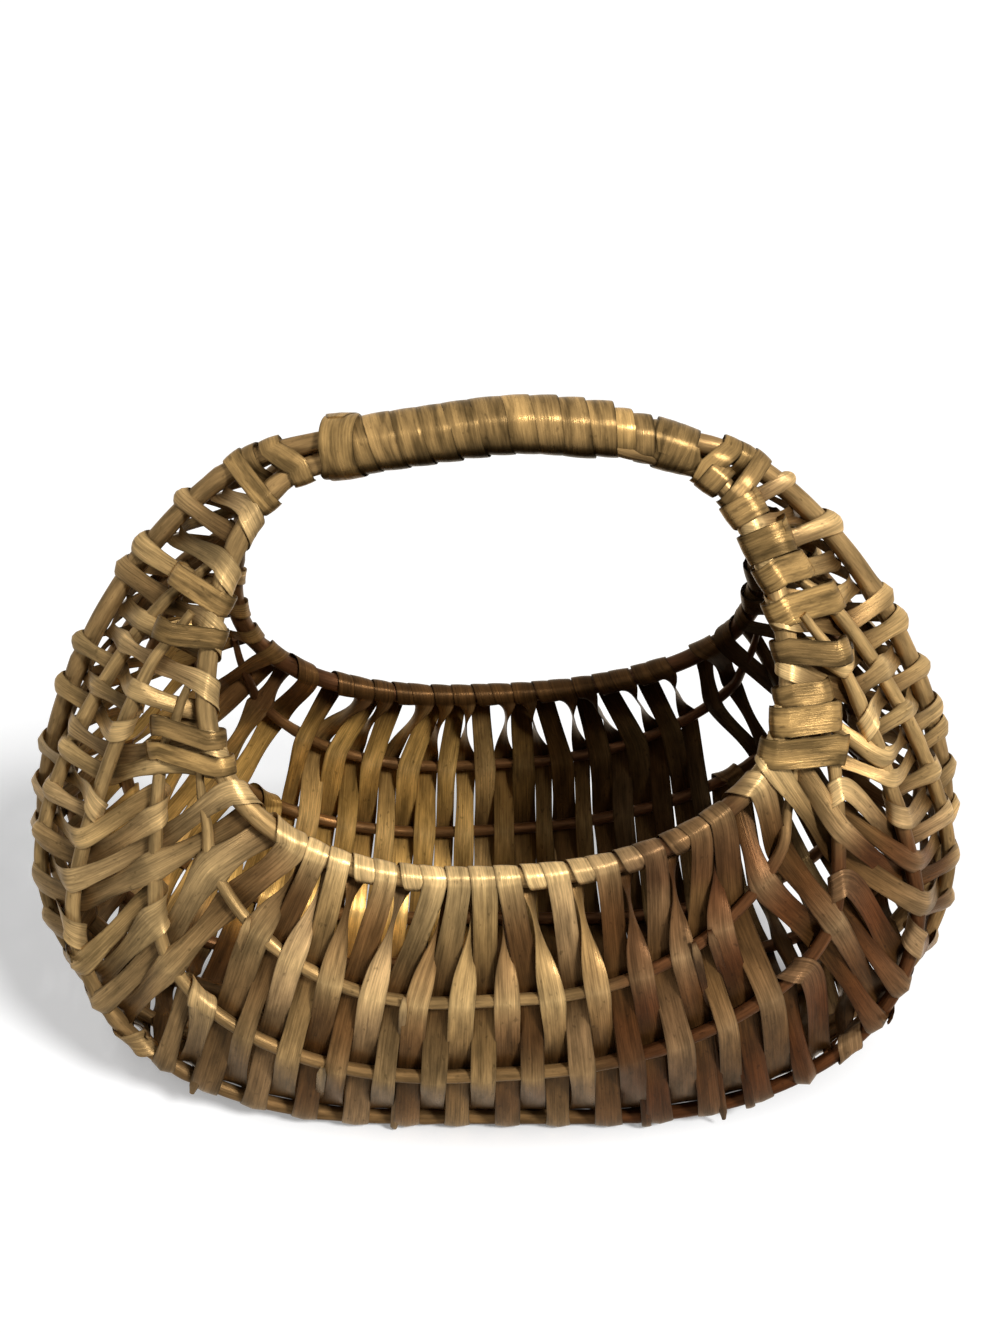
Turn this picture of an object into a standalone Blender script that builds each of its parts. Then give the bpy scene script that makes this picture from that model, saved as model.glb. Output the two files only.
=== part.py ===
"""Mushroom foraging basket: a frame basket of round willow rods and flat willow strips.

Three closed hoops carry it. The front and the back rim hoop edge the mouth, the keel hoop runs round the
ends and under the base, and the tops of all three lie together as the grip, bound by one flat strip. Four
ribs a side fill out the body, and flat strips are woven over and under hoops and ribs.
Metres, +X along the grip, -Y towards the front, +Z up. The basket stands on the strips under its keel.
"""
import math
from collections import namedtuple

import bmesh
import bpy
from mathutils import Vector

# Rods
HOOP_RADIUS = 0.0041
RIB_RADIUS = 0.0034
RIB_TIP_SHARE = 0.5
RIB_TAPER_LENGTH = 0.035
ROD_SAG = 0.00018
ROD_SIDES_LEVEL = 1

# Strips
STRIP_THICK = 0.0010
STRIP_WIDTH = 0.0096
STRIP_LEAST_GAP = 0.0013
SEAT_GAP = 0.00035
LANDING_LENGTH = 0.0050
STRIP_END_GAP = 0.0012
PASSES_PER_STRIP = 4
WRAP_SHARE = 0.84
TURN_WIDTH_SHARE = 0.85
RIM_PAIR_SPREAD_SHARE = 0.14
RIB_PULL_SHARE = 0.36
RIB_SPARE_SHARE = 0.5
LEVEL_REACH_SHARE = 1.5
LEAD_LIMIT_SHARE = 0.95
DOUBLE_LAPS = 2

BEND_LIMIT = math.radians(42)
WRAP_BEND = math.radians(55)

# Grip: the hoops' tops lie as a bundle of three, the keel on the two rims
GRIP_HALF = 0.070
GRIP_TOP = 0.2865
GRIP_DROP = 0.0060
HOOP_GAP = 0.0003
BUNDLE_RODS = 3
BUNDLE_RISE_SHARE = math.sqrt(3)
FRONT_RIM_DIRECTION = math.radians(210)

# Grip winding
WINDING_TURNS = 14
WINDING_POINTS_PER_ROD = 3
WINDING_GAP = 0.0008
WINDING_MARGIN = 0.0010

# Rim hoops
RIM_HALF_WIDTH = 0.112
RIM_WIDE_HEIGHT = 0.193
RIM_LOW_HEIGHT = 0.129
RIM_LEAN = 0.076
RIM_FLAT = 0.006

# Keel hoop
KEEL_HALF_WIDTH = 0.193
KEEL_WIDE_HEIGHT = 0.107
BASE_HALF_LENGTH = 0.060

# Ribs, from the one under the rim to the one beside the keel. The two beside the keel are set in from its
# sides, and their tips lie at a share of the way from the rim's widest height up to the grip.
RIB1_HALF_WIDTH = 0.118
RIB1_WIDE_HEIGHT = 0.168
RIB1_LOW_HEIGHT = 0.0825
RIB1_LEAN = 0.092
RIB2_HALF_WIDTH = 0.134
RIB2_WIDE_HEIGHT = 0.112
RIB2_LOW_HEIGHT = 0.045
RIB2_LEAN = 0.0915
RIB12_FLAT = 0.015
RIB12_TIP_X = 0.119
RIB12_TIP_RISE = 0.004
RIB12_TIP_LEAN = 0.043
RIB3_INSET = 0.022
RIB3_WIDE_HEIGHT = 0.100
RIB3_LEAN = 0.072
RIB3_LIFT = 0.0006
RIB3_FLAT = 0.0385
RIB3_TIP_X = 0.114
RIB3_TIP_SHARE = 0.4
RIB3_TIP_LEAN = 0.035
RIB4_INSET = 0.0035
RIB4_WIDE_HEIGHT = 0.105
RIB4_LEAN = 0.035
RIB4_TIP_X = 0.084
RIB4_TIP_SHARE = 0.674
RIB4_TIP_LEAN = 0.0156
TUCK_SPAN = 0.0150
TIP_INSET = 0.0010

# Squareness of each curve below and above its widest point: 2 is an ellipse, more is squarer
RIM_SQUARE_SHARES = (2.17, 1.78)
KEEL_SQUARE_SHARES = (2.30, 1.57)
RIB1_SQUARE_SHARES = (2.04, 2.00)
RIB2_SQUARE_SHARES = (1.92, 1.90)
RIB3_SQUARE_SHARES = (2.25, 1.25)
RIB4_SQUARE_SHARES = (2.30, 1.42)

# The hand-made wall is a little higher at its right end: its rise as a share of the distance from the middle
RIM_TILT_SHARE = 0.05
RIB1_TILT_SHARE = 0.07
RIB2_TILT_SHARE = 0.07

# Weave, on each side of the middle: rows of the middle, of the corner and of the upper end
MIDDLE_ROWS = 12
CORNER_PAIRS = 10
CORNER_TURNS = ("rib2", "rib3", "rim")
UPPER_ROWS = 8
RIM_PITCH = 0.0079
RIB1_PITCH = 0.0088
RIB2_PITCH = 0.0099
RIB3_PITCH = 0.0107
RIB4_PITCH = 0.0111
KEEL_PITCH = 0.0114
CORNER_END_DROP = 0.007
RIM_CORNER_END_RISE = 0.004
RIM_LAST_X = 0.090
KEEL_LAST_X = 0.106

# Working values for reading the curves
CURVE_STEPS = 240
GRIP_STEPS = 60
SMOOTH_REACH = 0.008
READ_STEP = 0.0015
LEVEL_TOLERANCE = 0.000002

# Willow colours, linear
HOOP_COLOR = (0.36, 0.22, 0.075, 1.0)
RIB_COLOR = (0.31, 0.19, 0.07, 1.0)
STRIP_COLOR = (0.27, 0.17, 0.065, 1.0)
GRIP_COLOR = (0.40, 0.26, 0.09, 1.0)
WILLOW_ROUGHNESS = 0.42

Member = namedtuple(
    "Member", "name radius half_width wide_z low_z lean flat squares top_x top_z top_lean tilt pitch is_hoop")

MEMBER_NAMES = ("rim", "rib1", "rib2", "rib3", "rib4", "keel")
LAST = 2 * (len(MEMBER_NAMES) - 1)


def rod_rest_height(radius):
    """Height of a rod's axis where it lies on a strip that lies on the ground."""
    return radius + SEAT_GAP + STRIP_THICK


def describe_members():
    """The six curves of the front half, from the rim to the keel."""
    bundle_half = HOOP_RADIUS + HOOP_GAP / 2
    keel_top = GRIP_TOP - GRIP_DROP
    rim_top = keel_top - bundle_half * BUNDLE_RISE_SHARE
    rib_low = rod_rest_height(RIB_RADIUS)
    rib12_tip = (RIB12_TIP_X, RIM_WIDE_HEIGHT + RIB12_TIP_RISE, RIB12_TIP_LEAN)
    shoulder = keel_top - RIM_WIDE_HEIGHT
    rib3_half = KEEL_HALF_WIDTH - RIB3_INSET
    rib4_half = KEEL_HALF_WIDTH - RIB4_INSET
    rib3_tip = (RIB3_TIP_X, RIM_WIDE_HEIGHT + shoulder * RIB3_TIP_SHARE, RIB3_TIP_LEAN)
    rib4_tip = (RIB4_TIP_X, RIM_WIDE_HEIGHT + shoulder * RIB4_TIP_SHARE, RIB4_TIP_LEAN)
    return (
        Member("rim", HOOP_RADIUS, RIM_HALF_WIDTH, RIM_WIDE_HEIGHT, RIM_LOW_HEIGHT, RIM_LEAN, RIM_FLAT,
               RIM_SQUARE_SHARES, GRIP_HALF, rim_top, bundle_half, RIM_TILT_SHARE, RIM_PITCH, True),
        Member("rib1", RIB_RADIUS, RIB1_HALF_WIDTH, RIB1_WIDE_HEIGHT, RIB1_LOW_HEIGHT, RIB1_LEAN, RIB12_FLAT,
               RIB1_SQUARE_SHARES, *rib12_tip, RIB1_TILT_SHARE, RIB1_PITCH, False),
        Member("rib2", RIB_RADIUS, RIB2_HALF_WIDTH, RIB2_WIDE_HEIGHT, RIB2_LOW_HEIGHT, RIB2_LEAN, RIB12_FLAT,
               RIB2_SQUARE_SHARES, *rib12_tip, RIB2_TILT_SHARE, RIB2_PITCH, False),
        Member("rib3", RIB_RADIUS, rib3_half, RIB3_WIDE_HEIGHT, rib_low + RIB3_LIFT, RIB3_LEAN, RIB3_FLAT,
               RIB3_SQUARE_SHARES, *rib3_tip, 0.0, RIB3_PITCH, False),
        Member("rib4", RIB_RADIUS, rib4_half, RIB4_WIDE_HEIGHT, rib_low, RIB4_LEAN, BASE_HALF_LENGTH,
               RIB4_SQUARE_SHARES, *rib4_tip, 0.0, RIB4_PITCH, False),
        Member("keel", HOOP_RADIUS, KEEL_HALF_WIDTH, KEEL_WIDE_HEIGHT, rod_rest_height(HOOP_RADIUS), 0.0,
               BASE_HALF_LENGTH, KEEL_SQUARE_SHARES, GRIP_HALF, keel_top, 0.0, 0.0, KEEL_PITCH, True),
    )


def power(value, exponent):
    """A power that takes the tiny negative cosine of a right angle as zero."""
    return max(value, 0.0) ** exponent


def half_curve(member):
    """Points of a member's right half as X and Z, from the middle of its base up to its tip or the grip."""
    low, high = member.squares
    points = []
    for step in range(CURVE_STEPS + 1):
        angle = math.pi / 2 * step / CURVE_STEPS
        x = member.flat + (member.half_width - member.flat) * power(math.sin(angle), 2 / low)
        z = member.wide_z - (member.wide_z - member.low_z) * power(math.cos(angle), 2 / low)
        points.append((x, z))
    for step in range(1, CURVE_STEPS + 1):
        angle = math.pi / 2 * step / CURVE_STEPS
        x = member.top_x + (member.half_width - member.top_x) * power(math.cos(angle), 2 / high)
        z = member.wide_z + (member.top_z - member.wide_z) * power(math.sin(angle), 2 / high)
        points.append((x, z))
    points.insert(0, (0.0, member.low_z))
    if member.is_hoop:
        for step in range(1, GRIP_STEPS + 1):
            share = 1 - step / GRIP_STEPS
            points.append((member.top_x * share, member.top_z + GRIP_DROP * (1 - share * share)))
    return points


def even_points(points, step):
    """The same line read at even steps of its length."""
    marks = [0.0]
    for a, b in zip(points, points[1:]):
        marks.append(marks[-1] + (b - a).length)
    count = round(marks[-1] / step)
    result = []
    index = 1
    for order in range(count):
        target = marks[-1] * order / count
        while marks[index] < target:
            index += 1
        share = (target - marks[index - 1]) / (marks[index] - marks[index - 1])
        result.append(points[index - 1].lerp(points[index], share))
    return result + [points[-1]]


def smoothed(points, reach, step):
    """Each point moved to the mean of its neighbours, less near the ends, so that bends start softly."""
    spread = max(1, round(reach / step))
    result = []
    for index, point in enumerate(points):
        near = min(spread, index, len(points) - 1 - index)
        window = points[index - near:index + near + 1]
        result.append(sum(window, Vector()) / len(window))
    return result


class Rod:
    """A member's axis as the straight pieces that its rod is made of.

    It is read by length, counted from the middle of the base.
    """

    def __init__(self, member):
        flat = [Vector((x, 0.0, z)) for x, z in half_curve(member)]
        flat = smoothed(even_points(flat, READ_STEP), SMOOTH_REACH, READ_STEP)
        fine = []
        for point in flat:
            share = min(1.0, max(0.0, (member.top_z - point.z) / (member.top_z - member.low_z)))
            lean = member.top_lean + (member.lean - member.top_lean) * share
            fine.append(Vector((point.x, -lean, point.z)))
        self.member = member
        self.points = self.thinned(fine, sum(point.z < member.low_z + LEVEL_TOLERANCE for point in fine) - 1)
        self.lengths = [0.0]
        for a, b in zip(self.points, self.points[1:]):
            self.lengths.append(self.lengths[-1] + (b - a).length)
        self.end = self.lengths[-1]

    @staticmethod
    def thinned(fine, level_end):
        """As few points as keep each piece within ROD_SAG of the smooth line, with the level run exact."""
        kept = [0, level_end]
        index = level_end + 1
        while index < len(fine):
            start = fine[kept[-1]]
            chord = fine[index] - start
            worst = 0.0
            for middle in fine[kept[-1] + 1:index]:
                offset = middle - start
                worst = max(worst, (offset - chord * (offset.dot(chord) / chord.length_squared)).length)
            if worst > ROD_SAG:
                kept.append(index - 1)
            else:
                index += 1
        kept.append(len(fine) - 1)
        return [fine[i] for i in kept]

    def at(self, length):
        """The axis point at a length: to the right where it is positive, mirrored to the left where not."""
        distance = min(abs(length), self.end)
        index = 1
        while index < len(self.lengths) - 1 and self.lengths[index] < distance:
            index += 1
        span = self.lengths[index] - self.lengths[index - 1]
        point = self.points[index - 1].lerp(self.points[index], (distance - self.lengths[index - 1]) / span)
        x = math.copysign(point.x, length)
        low_share = (self.member.top_z - point.z) / (self.member.top_z - self.member.low_z)
        return Vector((x, point.y, point.z + self.member.tilt * x * max(0.0, low_share)))

    def tangent(self, length):
        """Direction along the axis, from left to right."""
        reach = STRIP_WIDTH / 2
        return (self.at(length + reach) - self.at(length - reach)).normalized()

    def length_where(self, test):
        """The first length, from the middle of the base, at which a test of the axis point holds."""
        length = 0.0
        while length < self.end and not test(self.at(length)):
            length += READ_STEP
        return length


def mirror_y(vector):
    return Vector((vector.x, -vector.y, vector.z))


class Frame:
    """All eleven members, front rim to back rim, with the places where the rows of weave cross them."""

    def __init__(self):
        self.members = describe_members()
        self.rods = [Rod(member) for member in self.members]
        self.rib_ends = {}
        self.rim_limits = {}
        self.rim_marks = self.rim_places()
        self.find_rib_ends()
        self.turns = [self.pair_turns(shift) for shift in (0, 1)]
        self.places = {}
        for index in reversed(range(len(self.members))):
            self.places[index] = self.member_places(index)

    def pair_turns(self, shift):
        """The number of the member that each pair of rows turns round, outwards from the middle.

        Rows 0 and 1 are a pair at the front (shift 0), rows 1 and 2 at the back (shift 1). A pair that would
        turn round a rib past its end turns round the next one.
        """
        corner = [CORNER_TURNS[pair % len(CORNER_TURNS)] for pair in range(CORNER_PAIRS)]
        names = ["rim"] * (MIDDLE_ROWS // 2) + corner + ["rim"] * (UPPER_ROWS // 2 + 1)
        turns = []
        for pair, name in enumerate(names):
            turn = MEMBER_NAMES.index(name)
            mark = self.rim_marks[min(2 * pair + 1 - shift, self.rows - 1)]
            while turn in self.rim_limits and mark >= self.rim_limits[turn]:
                turn += 1
            turns.append(turn)
        return turns

    @property
    def rows(self):
        """Rows on each side of the middle."""
        return MIDDLE_ROWS + 2 * CORNER_PAIRS + UPPER_ROWS

    def zone_marks(self, index):
        """Lengths at which the middle ends, the corner ends and the last row ends on a member."""
        rod = self.rods[index]
        name = self.members[index].name
        middle = MIDDLE_ROWS * self.members[index].pitch
        corner_height = RIM_WIDE_HEIGHT + (RIM_CORNER_END_RISE if name == "rim" else -CORNER_END_DROP)
        last_x = RIM_LAST_X if name == "rim" else KEEL_LAST_X
        corner = rod.length_where(lambda p: p.z > corner_height)
        last = rod.length_where(lambda p: p.z > RIM_WIDE_HEIGHT and p.x < last_x)
        last = self.rib_ends.get(index, last)
        return middle, min(corner, last), last

    def rim_places(self):
        """Where each row meets the rim, or would meet it if it weren't short."""
        middle, corner, last = self.zone_marks(0)
        marks = []
        for row in range(self.rows):
            if row < MIDDLE_ROWS:
                marks.append(middle * (row + 0.5) / MIDDLE_ROWS)
            elif row < self.rows - UPPER_ROWS:
                share = (row - MIDDLE_ROWS + 0.5) / (2 * CORNER_PAIRS)
                marks.append(middle + (corner - middle) * share)
            else:
                share = (row - (self.rows - UPPER_ROWS) + 0.5) / UPPER_ROWS
                marks.append(corner + (last - corner) * share)
        return marks

    def find_rib_ends(self):
        """A rib stops where it comes close to the rim, and no row past that point of the rim crosses it."""
        rim = self.rods[0]
        rim_points = [rim.at(step * READ_STEP) for step in range(int(rim.end / READ_STEP))]
        for index in range(1, len(self.members) - 1):
            rod = self.rods[index]

            def tucks_in(point):
                return min((point - other).length for other in rim_points) < TUCK_SPAN

            end = rod.length_where(tucks_in)
            tip = rod.at(end)
            nearest = min(range(len(rim_points)), key=lambda i: (rim_points[i] - tip).length)
            self.rib_ends[index] = end
            self.rim_limits[index] = nearest * READ_STEP

    def crosses(self, row, index, shift):
        """Whether a row reaches a member; shift is 0 at the front and 1 at the back."""
        turn = self.turns[shift][(row + shift) // 2]
        if index <= turn:
            return index == turn
        if index in self.rim_limits:
            return self.rim_marks[row] < self.rim_limits[index]
        return True

    def member_places(self, index):
        """For the front and for the back, a table of each crossing row's length along a member."""
        tables = []
        for shift in (0, 1):
            middle, corner, last = self.zone_marks(index)
            spare = 0.0
            if index in self.rim_limits:
                last = self.passed_by(index, shift)
                corner = min(corner, last)
                spare = RIB_SPARE_SHARE
            places = {}
            zones = ((0, MIDDLE_ROWS, 0.0, middle),
                     (MIDDLE_ROWS, self.rows - UPPER_ROWS, middle, corner),
                     (self.rows - UPPER_ROWS, self.rows, corner, last))
            for first, stop, start, finish in zones:
                rows = [row for row in range(first, stop) if self.crosses(row, index, shift)]
                room = len(rows) + (spare if finish == last else 0.0)
                for order, row in enumerate(rows):
                    even = (order + 0.5) / room
                    drawn = (row - first + 0.5) / (stop - first)
                    share = even + (drawn - even) * RIB_PULL_SHARE if spare else even
                    places[row] = start + (finish - start) * share
                    if index == 0 and first == 0:
                        pair_sign = 1 if (row + shift) % 2 else -1
                        places[row] += pair_sign * RIM_PAIR_SPREAD_SHARE * (finish - start) / len(rows)
            tables.append(places)
        return tables

    def passed_by(self, index, shift):
        """Length on a rib where the first row that reaches the rim but not this rib passes it, or its end."""
        limit = self.rim_limits[index]
        rows = [row for row in range(self.rows)
                if self.turns[shift][(row + shift) // 2] == 0 and self.rim_marks[row] >= limit]
        if not rows:
            return self.rib_ends[index]
        row = rows[0]
        beyond = min(other for other in self.places if row in self.places[other][shift])
        start = self.rods[0].at(self.rim_marks[row])
        finish = self.rods[beyond].at(self.places[beyond][shift][row])
        rod = self.rods[index]
        chord = finish - start

        def distance(length):
            offset = rod.at(length) - start
            share = min(1.0, max(0.0, offset.dot(chord) / chord.length_squared))
            return (offset - chord * share).length

        return min((step * READ_STEP for step in range(int(rod.end / READ_STEP))), key=distance)

    def place(self, row, side, index):
        """Signed length at which a row crosses member 0 to LAST, or None; side is 1 right, -1 left."""
        back = index > LAST // 2
        table = self.places[LAST - index if back else index][1 if back else 0]
        return None if row not in table else side * table[row]

    def point(self, index, length):
        """Axis point of member 0 to LAST at a length."""
        back = index > LAST // 2
        point = self.rods[LAST - index if back else index].at(length)
        return mirror_y(point) if back else point

    def tangent(self, index, length):
        back = index > LAST // 2
        tangent = self.rods[LAST - index if back else index].tangent(length)
        return mirror_y(tangent) if back else tangent

    def radius(self, index):
        return self.members[LAST - index if index > LAST // 2 else index].radius

    def half_width(self, index, length):
        """Half the width of a strip along a member, as wide as its neighbours there leave room for."""
        back = index > LAST // 2
        table = self.places[LAST - index if back else index][1 if back else 0]
        marks = sorted(list(table.values()) + [-mark for mark in table.values()])
        room = min(abs(mark - length) for mark in marks if abs(mark - length) > LEVEL_TOLERANCE)
        widest = STRIP_WIDTH / 2
        return min(widest, (room - STRIP_LEAST_GAP) / 2)


Station = namedtuple("Station", "center across thick")


def wall_axes(frame, index, length, before, after):
    """Across, wall and outward directions at a crossing, from the points crossed before and after it."""
    center = frame.point(index, length)
    tangent = frame.tangent(index, length)
    wall = Vector()
    if before is not None:
        step = center - before
        wall += (step - tangent * step.dot(tangent)).normalized()
    if after is not None:
        step = after - center
        wall += (step - tangent * step.dot(tangent)).normalized()
    wall.normalize()
    return center, tangent, wall, wall.cross(tangent).normalized()


def crossing_stations(frame, index, length, side, before, after, flip, landing):
    """Stations of a strip that passes a member on its outer side (side 1) or inner side (side -1)."""
    center, tangent, wall, outward = wall_axes(frame, index, length, before, after)
    reach = frame.radius(index) + SEAT_GAP + STRIP_THICK / 2
    across = tangent * frame.half_width(index, length)
    level = abs(index - LAST // 2) <= 1 and abs(length) < BASE_HALF_LENGTH + STRIP_WIDTH * LEVEL_REACH_SHARE
    if level:
        outward = Vector((0.0, 0.0, -1.0))
        wall = Vector((0.0, 1.0, 0.0))
        across = Vector((across.length, 0.0, 0.0))
    if level or landing:
        spots = [center + outward * side * reach + wall * LANDING_LENGTH / 2 * end for end in (-1, 1)]
        return [Station(spot, across, outward * flip) for spot in spots]
    angles = []
    for neighbour, sign in ((before, -1), (after, 1)):
        step = neighbour - center - outward * side * reach
        step -= tangent * step.dot(tangent)
        rise = step.dot(outward * side)
        run = step.dot(wall * sign)
        touch = math.atan2(run, rise) - math.acos(min(1.0, reach / math.hypot(rise, run)))
        angles.append(sign * touch)
    wrap = max(0.0, angles[1] - angles[0])
    count = max(1, math.ceil(wrap / BEND_LIMIT))
    stations = []
    for order in range(count):
        angle = angles[0] + wrap * (order + 0.5) / count if wrap > 0 else (angles[0] + angles[1]) / 2
        radial = outward * side * math.cos(angle) + wall * math.sin(angle)
        spot = center + radial * reach / math.cos(wrap / count / 2)
        stations.append(Station(spot, across, radial * side * flip))
    return stations


def turn_stations(frame, index, ends, neighbours, side, front, laps, flip):
    """Stations of a strip that goes round a member and back, from one row's length to the next row's."""
    reach = frame.radius(index) + SEAT_GAP + STRIP_THICK / 2
    leads = []
    walls = []
    for length, neighbour in zip(ends, neighbours):
        before, after = (None, neighbour) if front else (neighbour, None)
        center, tangent, wall, outward = wall_axes(frame, index, length, before, after)
        step = neighbour - center
        span = (step - tangent * step.dot(tangent)).length
        leads.append(math.asin(min(LEAD_LIMIT_SHARE, 2 * reach / span)))
        walls.append(wall)
    total = math.pi * (2 * laps - 1) + sum(leads)
    count = round(total / WRAP_BEND)
    room = min(frame.half_width(index, length) for length in ends)
    if laps == 1:
        room *= TURN_WIDTH_SHARE
    else:
        room = min(room, abs(ends[1] - ends[0]) * 2 * math.pi / total * WRAP_SHARE / 2)
    stations = []
    for order in range(count):
        share = (order + 0.5) / count
        length = ends[0] + (ends[1] - ends[0]) * share
        tangent = frame.tangent(index, length)
        wall = walls[0].lerp(walls[1], share)
        wall = (wall - tangent * wall.dot(tangent)).normalized()
        outward = wall.cross(tangent)
        away = -wall if front else wall
        angle = -leads[0] + total * share
        radial = outward * side * math.cos(angle) + away * math.sin(angle)
        spot = frame.point(index, length) + radial * reach / math.cos(total / count / 2)
        stations.append(Station(spot, tangent * room, radial * side * flip))
    return stations


def row_members(frame, row, side):
    """Members that a row crosses, front to back, with the signed length on each."""
    crossed = []
    for index in range(LAST + 1):
        length = frame.place(row, side, index)
        if length is not None:
            crossed.append((index, length))
    return crossed


def end_station(frame, index, length, side, neighbour, flip):
    """Where the first or the last row of the whole weave ends flat on its rim."""
    pair = (None, neighbour) if index < LAST // 2 else (neighbour, None)
    center, tangent, wall, outward = wall_axes(frame, index, length, *pair)
    reach = frame.radius(index) + SEAT_GAP + STRIP_THICK / 2
    return Station(center + outward * side * reach, tangent * frame.half_width(index, length), outward * flip)


def weave_strips(frame):
    """The whole weave as one walk from the left end to the right, cut into strips inside the keel."""
    rows = frame.rows
    order = [(row, -1) for row in reversed(range(rows))] + [(row, 1) for row in range(rows)]
    walks = []
    for number, (row, half) in enumerate(order):
        crossed = row_members(frame, row, half)
        walks.append(crossed if number % 2 else crossed[::-1])
    strips = []
    current = []
    passes = 0
    side = 1
    flip = 1
    for number, walk in enumerate(walks):
        to_back = number % 2 == 1
        points = [frame.point(index, length) for index, length in walk]
        if number == 0:
            current.append(end_station(frame, *walk[0], side, points[1], flip))
            side = -side
        for step in range(1, len(walk) - 1):
            index, length = walk[step]
            before, after = points[step - 1], points[step + 1]
            if not to_back:
                before, after = after, before
            passes += index == LAST // 2
            cut = index == LAST // 2 and side < 0 and passes > PASSES_PER_STRIP
            stations = crossing_stations(frame, index, length, side, before, after, flip, cut)
            if not to_back:
                stations.reverse()
            if cut:
                middle = (stations[0].center + stations[1].center) / 2
                half_gap = (stations[1].center - stations[0].center).normalized() * STRIP_END_GAP / 2
                strips.append(current + [stations[0], stations[0]._replace(center=middle - half_gap)])
                current = [stations[1]._replace(center=middle + half_gap)]
                stations = stations[1:]
                passes = 1
            current += stations
            side = -side
        index, length = walk[-1]
        if number == len(walks) - 1:
            current.append(end_station(frame, index, length, side, points[-2], flip))
            break
        ends = (length, walks[number + 1][0][1])
        neighbours = (points[-2], frame.point(*walks[number + 1][1]))
        doubled = index in (0, LAST) and max(order[number][0], order[number + 1][0]) < MIDDLE_ROWS
        laps = DOUBLE_LAPS if doubled else 1
        current += turn_stations(frame, index, ends, neighbours, side, not to_back, laps, flip)
        flip = -flip
    strips.append(current)
    return strips


def strip_mesh(name, stations):
    """A closed flat strip through its stations."""
    mesh = bpy.data.meshes.new(name)
    work = bmesh.new()
    rings = []
    for station in stations:
        thick = station.thick.normalized() * STRIP_THICK / 2
        corners = ((1, 1), (-1, 1), (-1, -1), (1, -1))
        rings.append([work.verts.new(station.center + station.across * a + thick * b) for a, b in corners])
    for ring, following in zip(rings, rings[1:]):
        for corner in range(4):
            beside = (corner + 1) % 4
            work.faces.new((ring[corner], ring[beside], following[beside], following[corner]))
    work.faces.new(rings[0][::-1])
    work.faces.new(rings[-1])
    bmesh.ops.recalc_face_normals(work, faces=work.faces)
    work.to_mesh(mesh)
    work.free()
    return mesh


def material(name, color):
    """Plain willow of one colour."""
    willow = bpy.data.materials.new(name)
    willow.use_nodes = True
    shader = willow.node_tree.nodes["Principled BSDF"]
    shader.inputs["Base Color"].default_value = color
    shader.inputs["Roughness"].default_value = WILLOW_ROUGHNESS
    shader.inputs["Metallic"].default_value = 0.0
    return willow


def add_object(name, data, willow):
    """Places a finished curve or mesh in the scene under its node's name."""
    data.materials.append(willow)
    thing = bpy.data.objects.new(name, data)
    bpy.context.collection.objects.link(thing)
    return thing


def add_rod(name, points, radii, radius, closed, willow):
    """A round rod along its axis points, closed into a hoop or capped, with its radius as a share at each."""
    curve = bpy.data.curves.new(name, "CURVE")
    curve.dimensions = "3D"
    curve.bevel_depth = radius
    curve.bevel_resolution = ROD_SIDES_LEVEL
    curve.use_fill_caps = True
    curve.twist_mode = "MINIMUM"
    line = curve.splines.new("POLY")
    line.points.add(len(points) - 1)
    for spot, point, share in zip(line.points, points, radii):
        spot.co = (*point, 1.0)
        spot.radius = share
    line.use_cyclic_u = closed
    line.use_smooth = True
    return add_object(name, curve, willow)


def add_hoop(name, frame, index, willow):
    """A closed hoop: its right half, then the left half back down."""
    marks = frame.rods[LAST - index if index > LAST // 2 else index].lengths
    points = [frame.point(index, mark) for mark in marks + [-mark for mark in marks[-2:0:-1]]]
    return add_rod(name, points, [1.0] * len(points), HOOP_RADIUS, True, willow)


def add_rib(name, frame, index, willow):
    """A rib from its left tip to its right one, tapered to both."""
    number = LAST - index if index > LAST // 2 else index
    rod = frame.rods[number]
    back = index > LAST // 2
    last = max(frame.places[number][1 if back else 0].values())
    end = last + frame.half_width(index, last) - TIP_INSET
    marks = [mark for mark in rod.lengths if mark < end - READ_STEP] + [end]
    marks = [-mark for mark in marks[:0:-1]] + marks
    points = [frame.point(index, mark) for mark in marks]
    shares = []
    for mark in marks:
        rest = min(1.0, (end - abs(mark)) / RIB_TAPER_LENGTH)
        shares.append(RIB_TIP_SHARE + (1 - RIB_TIP_SHARE) * rest)
    return add_rod(name, points, shares, RIB_RADIUS, False, willow)


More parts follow.
